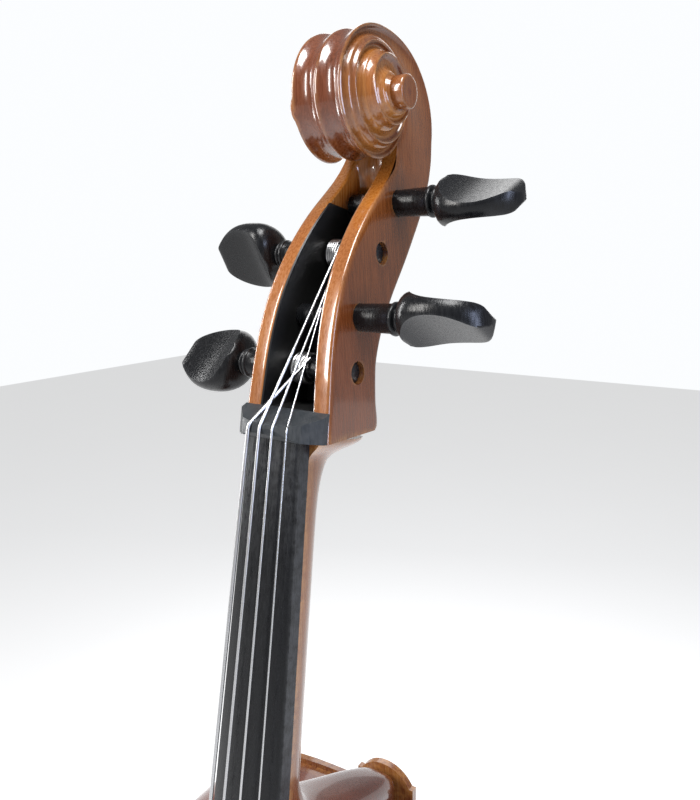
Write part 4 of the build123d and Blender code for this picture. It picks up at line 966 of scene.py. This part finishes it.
turnsTree = buildTurnsTree()
turns = {
    "diameter": {"c": 1.9, "g": 1.5, "d": 1.15, "a": 0.8},
    "centre": {"c": -7.5, "g": -6, "d": 5, "a": 7},
    "count": {"c": 5, "g": 5, "d": 6, "a": 8},
}
for name in "cgda":
    back, up, side = pegs[name][:3]
    diameter = turns["diameter"][name]
    width = (turns["count"][name] - 1) * diameter * 1.04
    centre = turns["centre"][name]
    slope = (pegs["headRadius"] - pegs["tipRadius"]) / (2 * cheekHalf(up)) * side
    middle = (pegs["headRadius"] + pegs["tipRadius"]) / 2
    place = neckPoint(centre - width / 2, back, up)
    piece = fromNodes(f"turns_{name}", turnsTree, {
        "Turns": float(turns["count"][name] - 1) + 0.75,
        "Start Radius": (middle + slope * (centre - width / 2) + diameter / 2) / 1000,
        "End Radius": (middle + slope * (centre + width / 2) + diameter / 2) / 1000,
        "Width": width / 1000,
        "String Radius": diameter / 2000,
        "Centre": tuple(place),
        "Material": looks["silk"] if name == "a" else looks["string"],
    })
    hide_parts(f"winding_{name}")
    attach(piece, f"peg_{name}")
print("turns done")

# floor, light and camera

paleFloor = {
    "half": 6, "dark": (0.96, 0.96, 0.96, 1), "light": (0.985, 0.985, 0.985, 1),
    "cloud": 3, "roughness": 0.85, "glow": 0.45,
}
floorMesh = bpy.data.meshes.new("floor")
half = paleFloor["half"]
corners = [(-half, -half, 0), (half, -half, 0), (half, half, 0), (-half, half, 0)]
floorMesh.from_pydata(corners, [], [(0, 1, 2, 3)])
floor = bpy.data.objects.new("floor", floorMesh)
bpy.context.scene.collection.objects.link(floor)
floorMaterial, floorTree, floorShader, floorVector = newMaterial("paleFloor")
floorTone = noiseNode(floorTree, floorVector, paleFloor["cloud"], 2, 0.5)
floorColor = mixColor(floorTree, floorTone, paleFloor["dark"], paleFloor["light"])
floorTree.links.new(floorColor, floorShader.inputs["Base Color"])
floorShader.inputs["Roughness"].default_value = paleFloor["roughness"]
floorShader.inputs["Emission Color"].default_value = (1, 1, 1, 1)
floorShader.inputs["Emission Strength"].default_value = paleFloor["glow"]
floorMesh.materials.append(floorMaterial)

world = bpy.data.worlds.new("studio")
bpy.context.scene.world = world
world.use_nodes = True
studioLight = {"seen": 1.0, "lit": 0.26, "color": (0.97, 0.985, 1.0, 1)}
worldTree = world.node_tree
background = worldTree.nodes["Background"]
background.inputs["Color"].default_value = studioLight["color"]
rays = worldTree.nodes.new("ShaderNodeLightPath")
strength = remap(worldTree, rays.outputs["Is Camera Ray"], 0, 1, studioLight["lit"], studioLight["seen"])
worldTree.links.new(strength, background.inputs["Strength"])
bpy.context.scene.view_settings.view_transform = "Standard"


def addArea(name, place, target, size, power, color=(1, 1, 1)):
    light = bpy.data.lights.new(name, "AREA")
    light.shape = "RECTANGLE"
    light.size, light.size_y = size
    light.energy = power
    light.color = color
    holder = bpy.data.objects.new(name, light)
    holder.location = place
    holder.rotation_euler = (Vector(target) - Vector(place)).to_track_quat("-Z", "Y").to_euler()
    bpy.context.scene.collection.objects.link(holder)


# place, target, size (m), power (W), colour
lights = {
    "key": ((-0.55, -1.1, 1.75), (0, 0, 1.2), (0.22, 0.9), 17, (1, 0.98, 0.95)),
    "strip": ((-1.1, -0.2, 1.35), (0, 0, 1.15), (0.12, 1.0), 9, (1, 1, 1)),
    "side": ((1.3, -0.25, 1.35), (0, 0, 1.15), (0.35, 0.9), 11, (0.62, 0.72, 1)),
    "top": ((0.25, -0.3, 2.2), (0, 0, 1.1), (0.5, 0.5), 14, (1, 1, 1)),
    "wide": ((-0.6, 1.3, 1.6), (0, 0, 0.9), (1.2, 1.2), 8, (1, 1, 1)),
}
for name, (place, target, size, power, color) in lights.items():
    addArea(name, place, target, size, power, color)

view = {"azimuth": 33.743, "elevation": 2.323, "roll": 5.092, "distance": 299.04,
        "target": (38.71, 0, 17.835), "lens": 30.78, "sensor": 36, "near": 0.01,
        "shiftX": 0.0064, "shiftY": -0.0128}
azimuth, elevation = math.radians(view["azimuth"]), math.radians(view["elevation"])
axisX, axisY = Vector((1, 0, 0)), neckBack
toCamera = (axisX * math.sin(azimuth) * math.cos(elevation) - axisY * math.cos(azimuth) * math.cos(elevation)
            + neckUp * math.sin(elevation))
rightward = axisX * math.cos(azimuth) + axisY * math.sin(azimuth)
upward = toCamera.cross(rightward)
roll = math.radians(view["roll"])
rolledRight = rightward * math.cos(roll) + upward * math.sin(roll)
rolledUp = upward * math.cos(roll) - rightward * math.sin(roll)
camera = bpy.data.objects.new("camera", bpy.data.cameras.new("camera"))
bpy.context.scene.collection.objects.link(camera)
turnMatrix = camera.matrix_world.to_3x3()
for index, axis in enumerate((rolledRight, rolledUp, toCamera)):
    turnMatrix.col[index] = axis
camera.matrix_world = turnMatrix.to_4x4()
camera.location = neckPoint(*view["target"]) + toCamera * view["distance"] / 1000
camera.data.sensor_width = view["sensor"]
camera.data.lens = view["lens"]
camera.data.shift_x = view["shiftX"]
camera.data.shift_y = view["shiftY"]
camera.data.clip_start = view["near"]
bpy.context.scene.camera = camera
